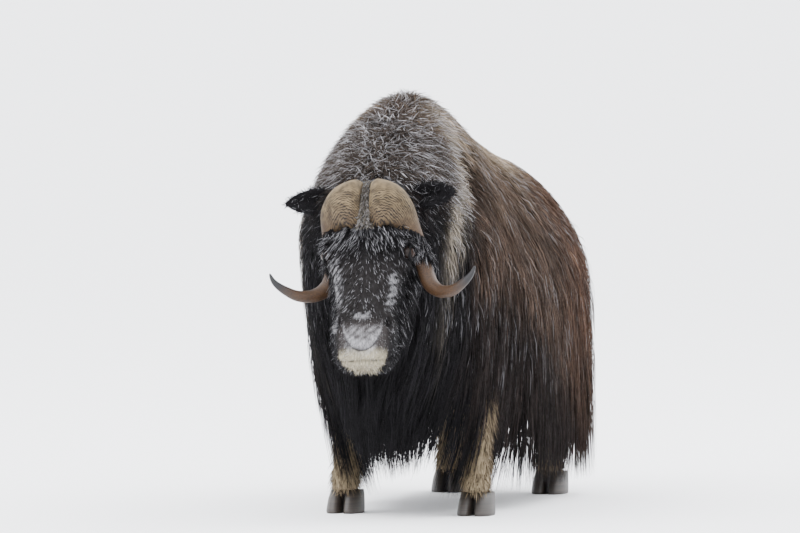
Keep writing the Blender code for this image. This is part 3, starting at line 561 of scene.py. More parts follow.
# %% [markdown]
# Under the skirt of hair the legs are short and stout, thickest at the body, slim below the knee and a
# little wider at the fetlock. Each is a tube along a bent line of centres and radii, and the hind leg's
# line breaks backwards at the hock.

# %% Legs and tail
FRONT_LEG = ((0.56, -0.35, 0.070), (0.46, -0.36, 0.066), (0.34, -0.365, 0.056), (0.28, -0.37, 0.053),
             (0.20, -0.365, 0.046), (0.14, -0.365, 0.048), (0.105, -0.372, 0.050), (0.066, -0.380, 0.047))
HIND_LEG = ((0.58, 0.60, 0.100), (0.48, 0.62, 0.085), (0.38, 0.67, 0.060), (0.31, 0.695, 0.050),
            (0.22, 0.675, 0.044), (0.14, 0.665, 0.047), (0.105, 0.658, 0.050), (0.066, 0.650, 0.047))
LIMBS = {"leg_front": (0.209, FRONT_LEG), "leg_hind": (0.165, HIND_LEG)}
LEG_INSET = 0.004
TAIL = ((0.0, 0.88, 0.80, 0.045), (0.4, 0.95, 0.765, 0.036), (0.65, 0.985, 0.72, 0.030),
        (0.85, 0.998, 0.66, 0.022), (1.0, 1.002, 0.62, 0.010))


def leg_surface(x, outline):
    """The surface of one leg, whose outline is (height, place, radius) from the body down."""
    rising = outline[::-1]

    def surface(s, t):
        z = outline[0][0] + (outline[-1][0] - outline[0][0]) * s
        y = along([(row[0], row[1]) for row in rising], z)
        radius = (along([(row[0], row[2]) for row in rising], z) - LEG_INSET) * rounded_ends(s, 0.02)
        across, ahead = circle(t)
        return np.stack([x + radius * 0.9 * across, y + radius * 1.08 * ahead, z], -1)

    return surface


def leg_tint(points, s, t):
    colours = np.tile(TONES["cream"], (len(points), 1)) * 0.8
    return with_alpha(blended(colours, "deep_brown", smooth_step(0.32, 0.42, points[:, 2])))


def tail_surface(s, t):
    y, z, radius = (along([(row[0], row[k]) for row in TAIL], s) for k in (1, 2, 3))
    wide, deep = radius * rounded_ends(s, 0.04) * circle(t)
    return np.stack([wide, y + deep * 0.6, z + deep * 0.5], -1)


legs = {}
for name, (x, outline) in LIMBS.items():
    for side, word in SIDES:
        legs[f"{name}_{word}"] = leg_surface(side * x, outline)
for name, surface in legs.items():
    skin_parts.append(tube("skin_" + name, 64, 32, surface, name, leg_tint))
skin_parts.append(tube("skin_tail", 32, 24, tail_surface, "tail", body_tint(1.0)))
print("legs", sorted(legs))

# %% [markdown]
# A muskox's ears are small, pointed leaves that stand out sideways from the mane, open to the front. The
# tube is flattened to a leaf, and its front side is pressed back into a cup.

# %% Ears
EAR_ROOT = np.array((-0.012, 0.095, -0.030))
EAR_REACH = {1: np.array((-0.018, 0.152, 0.034)), -1: np.array((0.004, 0.179, 0.036))}
EAR_HALF_HEIGHT, EAR_HALF_THICKNESS, EAR_DROOP = 0.040, 0.016, 0.012
EAR_OUTLINE = ((0.0, 0.55), (0.25, 0.85), (0.5, 1.0), (0.72, 0.8), (0.9, 0.42), (1.0, 0.06))


def ear_surface(side):
    reach = EAR_REACH[side]
    up = np.array((-1, 0, 0.35))
    up = unit(up - reach * (up @ reach) / (reach @ reach))
    front = unit(np.cross(reach, up))

    def surface(s, t):
        size = along(EAR_OUTLINE, s) * rounded_ends(s, 0.03)
        upward, forwards = circle(t)
        tall = EAR_HALF_HEIGHT * size * upward
        thick = EAR_HALF_THICKNESS * np.maximum(size, 0.3 * rounded_ends(s, 0.03)) * forwards
        cup = smooth_step(0.0, 0.25, s) * smooth_step(1.0, 0.8, s)
        cup = cup * np.clip(1 - (tall / EAR_HALF_HEIGHT) ** 2 * 1.6, 0, 1)
        thick = np.where(thick > 0, thick * (1 - 1.5 * cup), thick)
        tall = tall - EAR_DROOP * s * s
        points = EAR_ROOT + reach * s[:, None] + up * tall[:, None] + front * thick[:, None]
        return in_head(points * [1, side, 1])

    return surface


ears = {"ear_left": ear_surface(1), "ear_right": ear_surface(-1)}
for name, surface in ears.items():
    skin_parts.append(tube("skin_" + name, 40, 40, surface, name, plain_tint("black")))
print("ears", sorted(ears))

# %% [markdown]
# Lids are a rim of skin round each eyeball, almond shaped, the upper one heavier than the lower. Spinning
# a small ring makes the rim, and a stretch turns the round rim to an almond.

# %% Eyelids
LID_RADIUS, LID_THICKNESS = 0.0175, 0.0042
LID_STEP = 0.0125  # how far the rim lies outside the eye's centre


def eye_facing(side):
    """Which way an eye looks, and its level and upright axes."""
    gaze = Vector(axes @ Vector((0, side, 0.35))).normalized()
    across = Vector(down_face).cross(gaze).normalized()
    return gaze, gaze.cross(across), across


def eye_centre(side):
    return in_head((EYE_PLACE[0], EYE_PLACE[1] * side, EYE_PLACE[2]))


def eyelids(side):
    gaze, level, across = eye_facing(side)
    bm = bmesh.new()
    rim = bmesh.ops.create_circle(bm, segments=10, radius=LID_THICKNESS)["verts"]
    bmesh.ops.transform(bm, matrix=Matrix.Rotation(math.pi / 2, 4, "X"), verts=rim)
    bmesh.ops.translate(bm, vec=(LID_RADIUS, 0, 0), verts=rim)
    bmesh.ops.spin(bm, geom=bm.verts[:] + bm.edges[:], cent=(0, 0, 0), axis=(0, 0, 1), dvec=(0, 0, 0),
                   angle=2 * math.pi, steps=40, use_merge=True)
    bmesh.ops.remove_doubles(bm, verts=bm.verts, dist=1e-5)
    for vert in bm.verts:
        angle = math.atan2(vert.co.y, vert.co.x)
        almond = 1 - 0.30 * abs(math.cos(angle)) ** 2.5
        vert.co = (vert.co.x * almond, vert.co.y * 1.18, vert.co.z - 0.004 * abs(math.sin(angle)) ** 3)
    centre = Vector(eye_centre(side)) + gaze * LID_STEP + Vector(SHIFT)
    turned = Matrix((-across, level, gaze)).transposed().to_4x4()
    bmesh.ops.transform(bm, matrix=Matrix.Translation(centre) @ turned, verts=bm.verts)
    mesh = bpy.data.meshes.new("lids")
    finished_mesh(bm, mesh)
    layer = mesh.uv_layers.new(name="OFBake")
    spot = unwrapped("head", np.array([0.36]), np.array([0.5 + side * 0.25]))[0]
    layer.data.foreach_set("uv", np.tile(spot, len(mesh.loops)).astype(np.float32))
    give_tint(mesh, "tint", "FLOAT_COLOR", plain_tint("black", 0.7)(mesh.vertices, 0, 0))
    return placed(mesh)


skin_parts += [eyelids(side) for side, word in SIDES]
print("lids", [len(obj.data.polygons) for obj in skin_parts[-2:]])

# %% [markdown]
# Uniting the tubes leaves one closed skin with no faces hidden inside it. Its material is muskox hide
# under short hair: dull, dark and finely streaked. Its colours are the markings, held by its points.

# %% One skin
STREAK_MM = 1.2


def united(name, parts):
    """Unites closed bodies to one; the first keeps the result."""
    group = bpy.data.collections.new("operands")
    bpy.context.scene.collection.children.link(group)
    for part in parts[1:]:
        scene_objects.unlink(part)
        group.objects.link(part)
    modifier = parts[0].modifiers.new("unite", "BOOLEAN")
    modifier.operation, modifier.operand_type, modifier.solver = "UNION", "COLLECTION", "MANIFOLD"
    modifier.collection = group
    bpy.context.view_layer.update()
    graph = bpy.context.evaluated_depsgraph_get()
    mesh = bpy.data.meshes.new_from_object(parts[0].evaluated_get(graph))
    parts[0].modifiers.clear()
    parts[0].data = mesh
    parts[0].name = mesh.name = name
    for part in parts[1:]:
        bpy.data.objects.remove(part)
    bpy.data.collections.remove(group)
    return parts[0]


skin = united("skin", skin_parts)
# Hide under short hair scatters light evenly, so it is rough and hardly shines. Streaks run down the
# hair, drawn four times as wide as real ones, since finer ones wouldn't show.
material, tree, shader = new_material("hide_under_short_hair", Roughness=0.8, Specular_IOR_Level=0.12)
tint = add_node(tree, "Attribute", attribute_name="tint")
place = add_node(tree, "TexCoord").outputs["Object"]
stretch = add_node(tree, "Mapping", {"Vector": place, "Scale": (1.0, 1.0, 0.25)})
streak = add_node(tree, "TexNoise", {"Vector": stretch, "Scale": 1000 / STREAK_MM / 4, "Detail": 3.0,
                                     "Roughness": 0.6})
darker = add_node(tree, "MapRange", {"Value": streak, "From Min": 0.3, "From Max": 0.7, "To Min": 0.55,
                                     "To Max": 1.25})
colour = add_node(tree, "VectorMath", {0: tint, 1: darker}, operation="MULTIPLY")
bump = add_node(tree, "Bump", {"Height": streak, "Strength": 0.5, "Distance": 0.001})
feed(shader, {"Base Color": colour, "Normal": bump})
skin.data.materials.clear()
skin.data.materials.append(material)
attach(skin, "root")
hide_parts("head", "ear_left", "ear_right", "neck", "shoulder_left", "shoulder_right", "flank_left",
            "flank_right", "rump_left", "rump_right", "tail", "leg_front_left", "leg_front_right",
            "leg_hind_left", "leg_hind_right")
print("skin", len(skin.data.vertices), "points", len(skin.data.polygons), "faces")

# %% [markdown]
# A bull's horns meet over the brow as a broad boss of two domed halves, with a strip of woolly skin
# between. Each runs out and down the cheek, then turns up in a slender hook. It is one tube whose rings
# follow a few sections. The boss is scored across by wavy growth grooves, about 8 mm apart and deepest low
# down, where it is not rubbed smooth. They are cut into the mesh and also coloured, as dirt fills them.

# %% Form of the horns
HORN_SECTIONS = (((0.0145, 0.066, 0.092), 0.061, 0.034), ((0.0165, 0.066, 0.094), 0.072, 0.045),
                 ((0.038, 0.067, 0.100), 0.077, 0.055), ((0.067, 0.073, 0.092), 0.070, 0.055),
                 ((0.095, 0.089, 0.068), 0.052, 0.049), ((0.116, 0.118, 0.028), 0.035, 0.038),
                 ((0.129, 0.160, -0.018), 0.028, 0.030), ((0.138, 0.212, -0.047), 0.026, 0.027),
                 ((0.156, 0.262, -0.054), 0.024, 0.024), ((0.190, 0.299, -0.038), 0.0195, 0.0195),
                 ((0.233, 0.316, -0.008), 0.0165, 0.0165), ((0.270, 0.311, 0.022), 0.0130, 0.0130),
                 ((0.300, 0.294, 0.044), 0.0085, 0.0085), ((0.315, 0.268, 0.056), 0.0030, 0.0030))
BOSS_SECTIONS = 3
CORNER_POWER = 0.9  # under 1 squares the rings a little
ROOT_SHARE, TIP_SHARE = 0.05, 0.985
HORN_ROWS = ((0.0, 0.0), (0.05, 0.15), (0.12, 1.0), (0.45, 4.0), (1.0, 13.0))
HORN_SWAY, SWAY_SECTIONS = 0.020, (4, 8)
GROOVE_SPACING, GROOVE_DEPTH = 0.0078, 0.0018
OUTER_COLUMNS = 0.68


def horn_middle(k):
    """Centres and radii of the horn at places k along its list of sections."""
    columns = np.array([(a, l, n, across, out) for (l, a, n), across, out in HORN_SECTIONS]).T
    a, l, n, across, out = (along(list(enumerate(column)), k) for column in columns)
    return np.stack([a, l, n], -1), across, out


def groove_phase(points):
    """How many grooves lie above each point of the boss: they arch over its middle, unevenly."""
    a, l = points[:, 0], np.abs(points[:, 1])
    arch = 0.024 * ((l - 0.062) / 0.05) ** 2 * (0.4 + 7 * np.clip(a, 0, 0.12))
    waves = ((0.0016, l * 160 + a * 130), (0.0010, l * 430 - a * 260 + 1.7), (0.0008, l * 850 + a * 90))
    return (a - arch + sum(height * np.sin(turn) for height, turn in waves)) / GROOVE_SPACING


def opening(share):
    """How far a rounded end has opened, from 0 at its pole to 1."""
    return np.sqrt(np.clip(1 - np.clip(share, 0, 1) ** 2, 0, 1))


def horn_surface(side):
    def surface(s, t):
        k = along(HORN_ROWS, s)
        centre, across, out = horn_middle(k)
        square = smooth_step(BOSS_SECTIONS + 0.5, BOSS_SECTIONS - 1.2, k)[:, None]
        tangent = unit(horn_middle(k + 0.02)[0] - horn_middle(k - 0.02)[0])
        tangent = unit(tangent * (1 - square) + np.array([0, 1, 0]) * square)
        outward = unit(np.array([0, 0, 1]) - tangent * tangent[:, 2:3])
        inner = 0.5 + (t - OUTER_COLUMNS) / (1 - OUTER_COLUMNS) * 0.5
        flat_way, out_way = circle(np.where(t < OUTER_COLUMNS, t / OUTER_COLUMNS * 0.5, inner))
        opened = opening(1 - s / ROOT_SHARE) * opening((s - TIP_SHARE) / (1 - TIP_SHARE))
        flat_step = across * opened * signed_power(flat_way, CORNER_POWER)
        out_step = out * opened * signed_power(out_way, CORNER_POWER)
        points = centre + np.cross(tangent, outward) * flat_step[:, None] + outward * out_step[:, None]
        boss = smooth_step(5.2, 3.6, k) * np.clip(out_way, 0, 1)
        a, l = points[:, 0], points[:, 1]
        low = 0.08 + 0.92 * smooth_step(0.030, 0.065, a)
        broken = 0.5 + 0.5 * np.sin(l * 190 + 9 * np.sin(a * 120 + side)) * np.sin(a * 330 + l * 60 + side)
        cut = np.clip(circle(groove_phase(points))[1] * 1.2 - 0.1, 0, 1) * (0.35 + 0.65 * broken)
        fissures = np.clip(np.sin(l * 900 + 3 * np.sin(a * 200)) - 0.3, 0, 1) * smooth_step(0.100, 0.125, a)
        points = points - outward * (GROOVE_DEPTH * np.maximum(cut, fissures) * low * boss)[:, None]
        points[:, 1] += HORN_SWAY * side * smooth_step(*SWAY_SECTIONS, k)
        return in_head(points * [1, side, 1])

    return surface


def horn_facts(side):
    def facts(s, t):
        k = along(HORN_ROWS, s)
        points = to_head(horn_surface(side)(s, t))
        return np.stack([groove_phase(points), points[:, 0], k], -1)

    return facts


horns = {}
for side, word in SIDES:
    horns[word] = tube(f"bull_horn_{word}", 190, 170, horn_surface(side), facts={"horn": horn_facts(side)})
    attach(horns[word], "root")
    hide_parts(f"horn_{word}")
print("horn", len(horns["left"].data.polygons), "faces")

# %% [markdown]
# Horn is keratin, the stuff of hooves and nails: dull and straw-grey on the weathered boss, with dirt in
# its grooves, amber where the shaft is worn, and near black and glossy at the tip. The material reads
# the place along the horn for those zones, and the count of grooves for the dark lines.

# %% Weathered keratin
material, tree, shader = new_material("weathered_keratin", Specular_IOR_Level=0.3)
fact = add_node(tree, "Attribute", attribute_name="horn").outputs["Vector"]
grooves, down, along_horn = add_node(tree, "SeparateXYZ", {"Vector": fact}).outputs
place = add_node(tree, "TexCoord").outputs["Object"]
patch = add_node(tree, "TexNoise", {"Vector": place, "Scale": 38.0, "Detail": 5.0})
gaps = add_node(tree, "TexNoise", {"Vector": place, "Scale": 85.0, "Detail": 3.0})
fibre_scale = add_node(tree, "Mapping", {"Vector": fact, "Scale": (0.6, 260.0, 2.0)})
fibre = add_node(tree, "TexNoise", {"Vector": fibre_scale, "Scale": 2.0, "Detail": 4.0})
# The dark lines: a wave of the groove count, made ragged, only where the boss isn't rubbed smooth.
ragged = add_node(tree, "Math", {0: patch, 1: 1.1}, operation="MULTIPLY")
phase = add_node(tree, "Math", {0: grooves, 1: ragged}, operation="ADD")
turned = add_node(tree, "Math", {0: phase, 1: 2 * math.pi}, operation="MULTIPLY")
wave = add_node(tree, "Math", {0: turned}, operation="SINE")
dirt = add_node(tree, "MapRange", {"Value": wave, "From Min": -0.15, "From Max": 0.5})
for value, start, end, first, last in ((down, 0.028, 0.062, 0.05, 1.0), (gaps, 0.30, 0.50, 0.0, 1.0),
                                       (along_horn, 3.8, 5.2, 1.0, 0.0)):
    share = add_node(tree, "MapRange", {"Value": value, "From Min": start, "From Max": end, "To Min": first,
                                        "To Max": last})
    dirt = add_node(tree, "Math", {0: dirt, 1: share}, operation="MULTIPLY")
# The tones: straw with darker spots and a brown foot on the boss, streaked amber on the shaft.
spotted = add_node(tree, "MapRange", {"Value": patch, "From Min": 0.35, "From Max": 0.70})
streaked = add_node(tree, "MapRange", {"Value": fibre, "From Min": 0.35, "From Max": 0.65})
foot = add_node(tree, "MapRange", {"Value": down, "From Min": 0.085, "From Max": 0.150, "To Max": 0.6})
to_shaft = add_node(tree, "MapRange", {"Value": along_horn, "From Min": 3.8, "From Max": 5.5})
to_tip = add_node(tree, "MapRange", {"Value": along_horn, "From Min": 10.4, "From Max": 11.6})
colour = add_node(tree, "Mix", {"Factor": spotted, "A": "#382d1b", "B": "#63543c"}, data_type="RGBA")
shaft_tone = add_node(tree, "Mix", {"Factor": streaked, "A": "#1a110a", "B": "#3f2a17"}, data_type="RGBA")
for share, tone in ((foot, "#33241a"), (to_shaft, shaft_tone), (dirt, "#0c0806"), (to_tip, "#121113")):
    colour = add_node(tree, "Mix", {"Factor": share, "A": colour, "B": tone}, data_type="RGBA")
rough = add_node(tree, "MapRange", {"Value": along_horn, "From Min": 4.0, "From Max": 9.0, "To Min": 0.80,
                                    "To Max": 0.50})
height = add_node(tree, "Math", {0: fibre, 1: dirt}, operation="SUBTRACT")
bump = add_node(tree, "Bump", {"Height": height, "Strength": 0.4, "Distance": 0.0008})
feed(shader, {"Base Color": colour, "Roughness": rough, "Normal": bump})
for horn in horns.values():
    horn.data.materials.append(material)
print("horn material", len(tree.nodes), "nodes")

# %% [markdown]
# The eyes are dark brown with a wide, level pupil. A finer ball takes the place of each plain one, with a
# slight bulge for the cornea. Its points keep their place across the gaze, so that iris and pupil stay put.

# %% Eyes
IRIS_RADIUS, PUPIL = 0.0125, (0.0032, 0.0068)
material, tree, shader = new_material("wet_eye", Roughness=0.16, Specular_IOR_Level=0.14)
look = add_node(tree, "Attribute", attribute_name="look").outputs["Vector"]
flat = add_node(tree, "VectorMath", {0: look, 1: (1 / PUPIL[0], 1 / PUPIL[1], 0)}, operation="MULTIPLY")
level = add_node(tree, "VectorMath", {0: look, 1: (1, 1, 0)}, operation="MULTIPLY")
pupil_reach = add_node(tree, "VectorMath", {0: flat}, operation="LENGTH")
reach = add_node(tree, "VectorMath", {0: level}, operation="LENGTH")
rays = add_node(tree, "TexNoise", {"Vector": look, "Scale": 900.0, "Detail": 3.0})
in_iris = add_node(tree, "MapRange", {"Value": reach, "From Min": IRIS_RADIUS * 0.92,
                                      "From Max": IRIS_RADIUS})
in_pupil = add_node(tree, "MapRange", {"Value": pupil_reach, "From Min": 0.85, "From Max": 1.1})
iris = add_node(tree, "Mix", {"Factor": rays, "A": "#120a06", "B": "#24130a"}, data_type="RGBA")
ball = add_node(tree, "Mix", {"Factor": in_iris, "A": iris, "B": "#17100d"}, data_type="RGBA")
colour = add_node(tree, "Mix", {"Factor": in_pupil, "A": "#050505", "B": ball}, data_type="RGBA")
feed(shader, {"Base Color": colour})

for side, word in SIDES:
    gaze, level, across = eye_facing(side)
    bm = bmesh.new()
    bmesh.ops.create_uvsphere(bm, u_segments=40, v_segments=24, radius=EYE_RADIUS)
    for vert in bm.verts:
        vert.co *= 1 + 0.05 * max(0.0, vert.co.z / EYE_RADIUS) ** 8
    looks = [tuple(vert.co) for vert in bm.verts]
    turned = Matrix((level, across, gaze)).transposed().to_4x4()
    moved = Matrix.Translation(Vector(eye_centre(side) + SHIFT))
    bmesh.ops.transform(bm, matrix=moved @ turned, verts=bm.verts)
    mesh = bpy.data.meshes.new(f"eyeball_{word}")
    finished_mesh(bm, mesh)
    give_tint(mesh, "look", "FLOAT_VECTOR", looks)
    mesh.materials.append(material)
    eye = placed(mesh)
    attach(eye, "root")
    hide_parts(f"eye_{word}")
print("eyes of", EYE_RADIUS * 2000, "mm")

# %% [markdown]
# Each hoof is two claws, flat below and rounded in front. They have the solids' own section, in finer
# steps, and growth rings run level round the wall, a few millimetres apart.

# %% Hooves
HOOF_HEIGHT, HOOF_LENGTH, CLAW_WIDTH, CLAW_PARTING = 0.0697, 0.125, 0.052, 0.006
CLAW_GROW = ((0.0, 0.97), (0.14, 1.0), (0.65, 0.90), (1.0, 0.74))
CLAW_BACK = ((0.0, 0.0), (0.14, 0.001), (0.65, 0.012), (1.0, 0.024))
RING_SPACING = 0.005


def claw_surface(x, y, side):
    def surface(s, t):
        rise = np.clip((s - 0.2) / 0.6, 0, 1)
        opened = np.clip(np.minimum(s, 1 - s) / 0.2, 0, 1)
        grow = along(CLAW_GROW, rise) * opened
        outer, ahead = circle(-t)
        reach = 0.5 * signed_power(outer, 0.7)
        wide = CLAW_WIDTH * (0.5 + reach * np.where(outer > 0, along(CLAW_GROW, rise), 1) * opened)
        length = HOOF_LENGTH / 2 * grow * signed_power(ahead, 0.85)
        taper = 1 - 0.22 * np.clip(ahead, 0, 1) ** 2 * opened
        rings = 0.0005 * np.sin(2 * np.pi * rise * HOOF_HEIGHT / RING_SPACING) * opened
        return np.stack([x + side * (CLAW_PARTING / 2 + wide * taper), y - length * (1 + rings * 20)
                         + along(CLAW_BACK, rise), HOOF_HEIGHT * rise], -1)

    return surface


material, tree, shader = new_material("hoof_keratin", Roughness=0.55)
place = add_node(tree, "TexCoord").outputs["Object"]
banded = add_node(tree, "Mapping", {"Vector": place, "Scale": (6.0, 6.0, 200.0)})
bands = add_node(tree, "TexNoise", {"Vector": banded, "Scale": 1.0, "Detail": 3.0})
share = add_node(tree, "MapRange", {"Value": bands, "From Min": 0.3, "From Max": 0.7})
colour = add_node(tree, "Mix", {"Factor": share, "A": "#120f0d", "B": "#2e261f"}, data_type="RGBA")
bump = add_node(tree, "Bump", {"Height": bands, "Strength": 0.4, "Distance": 0.0008})
feed(shader, {"Base Color": colour, "Normal": bump})
for name, (x, outline) in LIMBS.items():
    for side, word in SIDES:
        for toe, turn in (("outer", side), ("inner", -side)):
            place = f"{name[4:]}_{word}_{toe}"
            claw = tube("claw_" + place, 40, 40, claw_surface(side * x, outline[-1][1], turn))
            claw.data.materials.append(material)
            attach(claw, "root")
            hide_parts("hoof_" + place)
print("hooves stand at", round(min(v.co.z for v in claw.data.vertices), 5))

# %% [markdown]
# The coat could be grown as particle hair, but hair of that kind is lost when a model is exported. Here
# it is real mesh. Each tuft is a thin closed sliver of three sides that tapers to a point. Thousands of
# them are joined from arrays to one mesh, since an object for each would be far too slow. A tuft has a
# small patch of its own in the skin's unwrap, at the place where it is rooted.

# %% Tufts joined to a mesh
PATCH = 0.003
TUFT_DEPTH = 0.45  # thickness as a share of half the width
chance = np.random.default_rng(11)

# Guard hair over wool is dull and soft in the mass; clouds of light and dark keep large areas uneven.
coat_material, tree, shader = new_material("guard_hair_and_wool", Roughness=0.82, Specular_IOR_Level=0.1)
tint = add_node(tree, "Attribute", attribute_name="tint")
place = add_node(tree, "TexCoord").outputs["Object"]
cloud = add_node(tree, "TexNoise", {"Vector": place, "Scale": 9.0, "Detail": 5.0, "Roughness": 0.65})
shade = add_node(tree, "MapRange", {"Value": cloud, "From Min": 0.3, "From Max": 0.7, "To Min": 0.72,
                                    "To Max": 1.28})
feed(shader, {"Base Color": add_node(tree, "VectorMath", {0: tint, 1: shade}, operation="MULTIPLY")})


def one_tuft(rings):
    """Corner numbers of one tuft's faces, and how many corners each face has."""
    faces = [(2, 1, 0)]
    for low in range(0, 3 * rings, 3):
        for i, j in ((0, 1), (1, 2), (2, 0)):
            upper = (low + 3 + j, low + 3 + i) if low < 3 * rings - 3 else (3 * rings,)
            faces.append((low + i, low + j, *upper))
    return np.concatenate(faces), np.array([len(face) for face in faces])


def tuft_mesh(name, centres, outward, half_width, colours, roots):
    """Joins tufts to one piece. centres is tufts by stations, and the last station is the tip."""
    count, stations, _ = centres.shape
    rings = stations - 1
    tangents = np.gradient(centres, axis=1)
    side = unit(np.cross(outward, tangents))
    out = unit(np.cross(tangents, side))
    roll = chance.normal(0, 0.45, (count, 1, 1))
    side, out = side * np.cos(roll) + out * np.sin(roll), out * np.cos(roll) - side * np.sin(roll)
    wide = half_width[..., None]
    corners = np.stack([centres + side * wide, centres + out * wide * TUFT_DEPTH, centres - side * wide], 2)
    points = np.concatenate([corners[:, :rings].reshape(count, rings * 3, 3), centres[:, -1:]], 1) + SHIFT
    corner_numbers, sizes = one_tuft(rings)
    each = rings * 3 + 1
    loops = (corner_numbers[None] + np.arange(count)[:, None] * each).ravel()
    starts = np.concatenate([[0], np.cumsum(np.tile(sizes, count))[:-1]])
    mesh = bpy.data.meshes.new(name)
    mesh.vertices.add(count * each)
    mesh.vertices.foreach_set("co", points.astype(np.float32).ravel())
    mesh.loops.add(len(loops))
    mesh.loops.foreach_set("vertex_index", loops.astype(np.int32))
    mesh.polygons.add(len(starts))
    mesh.polygons.foreach_set("loop_start", starts.astype(np.int32))
    mesh.polygons.foreach_set("use_smooth", np.ones(len(starts), bool))
    mesh.update(calc_edges=True)
    ranks = np.concatenate([np.repeat(np.arange(rings), 3), [rings]]) / rings - 0.5
    sides = np.concatenate([np.tile([-0.5, 0.0, 0.5], rings), [0.0]])
    spots = roots[:, None] + np.stack([sides, ranks], -1)[None] * PATCH
    layer = mesh.uv_layers.new(name="OFBake")
    layer.data.foreach_set("uv", spots.reshape(-1, 2)[loops].astype(np.float32).ravel())
    tints = np.concatenate([np.repeat(colours[:, :rings], 3, axis=1), colours[:, -1:]], 1).reshape(-1, 3)
    give_tint(mesh, "tint", "FLOAT_COLOR", with_alpha(np.clip(tints, 0, 1)))
    mesh.materials.append(coat_material)
    obj = placed(mesh)
    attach(obj, "root")
    print(name, count, "tufts", count * (6 * rings - 2), "triangles")


def surface_frame(surface, s, t):
    """Points on a surface, its outward normals and how much area each (s, t) stands for."""
    e = 1e-3
    cross = np.cross(surface(s + e, t) - surface(s - e, t), surface(s, t + e) - surface(s, t - e))
    points = surface(s, t)
    middle = sum(surface(s, t + quarter) for quarter in (0, 0.25, 0.5, 0.75)) / 4
    if np.median(np.sum(cross * (points - middle), -1)) < 0:
        cross = -cross
    return points, unit(cross), np.linalg.norm(cross, axis=-1)


def scatter(surface, count, weight=None):
    """Roots (s, t) spread evenly over a surface, fewer where weight(points, normals) is small."""
    kept = []
    while sum(len(rows[0]) for rows in kept) < 3 * count:
        s, t = chance.random((2, 12000))
        points, normals, area = surface_frame(surface, s, t)
        odds = area * (weight(points, normals) if weight else 1.0)
        grows = odds > 0
        kept.append([rows[grows] for rows in (s, t, points, normals, odds)])
    s, t, points, normals, odds = (np.concatenate(rows) for rows in zip(*kept))
    picked = chance.choice(len(s), count, replace=False, p=odds / odds.sum())
    return s[picked], t[picked], points[picked], normals[picked]


# %% [markdown]
# Long hair does not stand on the skin, it runs along it. From roots all over the trunk, a path is traced
# for each lock: down the slope of the body with a lean to the rear, as the coat lies, and then, where the
# body turns under, straight down in a free fall to the hem, drawn in a little. Paths are traced on the
# outlines themselves, all at once.

# %% Lie of the coat
STEP = 0.025
PATH_STEPS = 58
HEAD_MARGIN = 1.06  # the hair stays outside the head's outline grown by this
COAT_HEM = ((-0.96, 0.34), (-0.80, 0.27), (-0.64, 0.18), (-0.50, 0.07), (1.0, 0.045))
# How far the hanging hair is drawn in, and how much the hair leans back, along the body.
COAT_TUCK = ((-0.96, 0.13), (-0.60, 0.13), (-0.50, 0.11), (-0.22, 0.11), (-0.10, 0.04), (0.40, 0.04),
             (0.55, 0.0))
REARWARD = ((-0.96, -0.10), (-0.70, 0.05), (-0.45, 0.25), (-0.10, 0.40), (0.975, 0.40))


def trunk_core(s, t):
    return trunk_surface(TRUNK_FRONT + (TRUNK_REAR - TRUNK_FRONT) * s, t)


def traced(s, t, lean):
    """Paths down the coat from roots (s, t): places, outward ways and the length of each to its hem."""
    y, turn = TRUNK_FRONT + (TRUNK_REAR - TRUNK_FRONT) * s, t.copy()
    count = len(y)
    paths, outs = np.empty((count, PATH_STEPS, 3)), np.empty((count, PATH_STEPS, 3))
    left_at = np.full(count, np.inf)
    start, flat = np.zeros((count, 3)), np.zeros((count, 3))
    e = 1e-3
    for k in range(PATH_STEPS):
        by_y = (trunk_surface(y + e, turn) - trunk_surface(y - e, turn)) / (2 * e)
        by_turn = (trunk_surface(y, turn + e) - trunk_surface(y, turn - e)) / (2 * e)
        point, normal = trunk_surface(y, turn), unit(np.cross(by_y, by_turn))
        hangs = (normal[:, 2] < 0.06) | (y > TRUNK_REAR - 0.012) | (y < TRUNK_FRONT + 0.005)
        leaves = (left_at == np.inf) & hangs
        left_at[leaves] = k
        start[leaves] = point[leaves]
        flat[leaves] = unit(normal[leaves] * [1, 1, 0])
        falling = left_at <= k
        fall = np.where(falling, (k - np.where(falling, left_at, k)) * STEP, 0)
        drop = np.maximum(start[:, 2] - along(COAT_HEM, start[:, 1]), 0.05)
        inward = along(COAT_TUCK, start[:, 1]) * np.clip(fall / drop, 0, 1.15) ** 1.5
        fallen = start - np.array([0, 0, 1]) * fall[:, None]
        fallen[:, 0] -= np.sign(start[:, 0]) * np.minimum(inward, np.abs(start[:, 0]) * 0.8)
        drift = smooth_step(-0.45, -0.15, start[:, 1]) * smooth_step(0.85, 0.25, start[:, 1])
        fallen[:, 1] += 0.10 * fall * drift
        fallen[:, :2] += (lean * fall * 0.25)[:, None] * np.abs(flat[:, 1::-1])
        paths[:, k] = np.where(falling[:, None], fallen, point)
        outs[:, k] = np.where(falling[:, None], flat, normal)
        outwards = 0.3 * np.clip(point[:, 0] / 0.10, -1, 1) + lean * 0.5
        pull = np.stack([outwards, along(REARWARD, y) + lean, -np.ones(count)], -1)
        pull = unit(pull - normal * np.sum(pull * normal, -1)[:, None]) * STEP
        aa, ab, bb = (np.sum(p * q, -1) for p, q in ((by_y, by_y), (by_y, by_turn), (by_turn, by_turn)))
        pa, pb = np.sum(pull * by_y, -1), np.sum(pull * by_turn, -1)
        det = np.maximum(aa * bb - ab * ab, 1e-9)
        going = ~falling
        y = y + np.where(going, (pa * bb - pb * ab) / det, 0)
        y = np.clip(y, TRUNK_FRONT + 0.004, TRUNK_REAR - 0.008)
        turn = turn + np.where(going, (pb * aa - pa * ab) / det, 0)
    hems = along(COAT_HEM, paths[:, -1, 1])
    above = np.sum(paths[:, :, 2] > hems[:, None], axis=1)
    return paths, outs, above * STEP


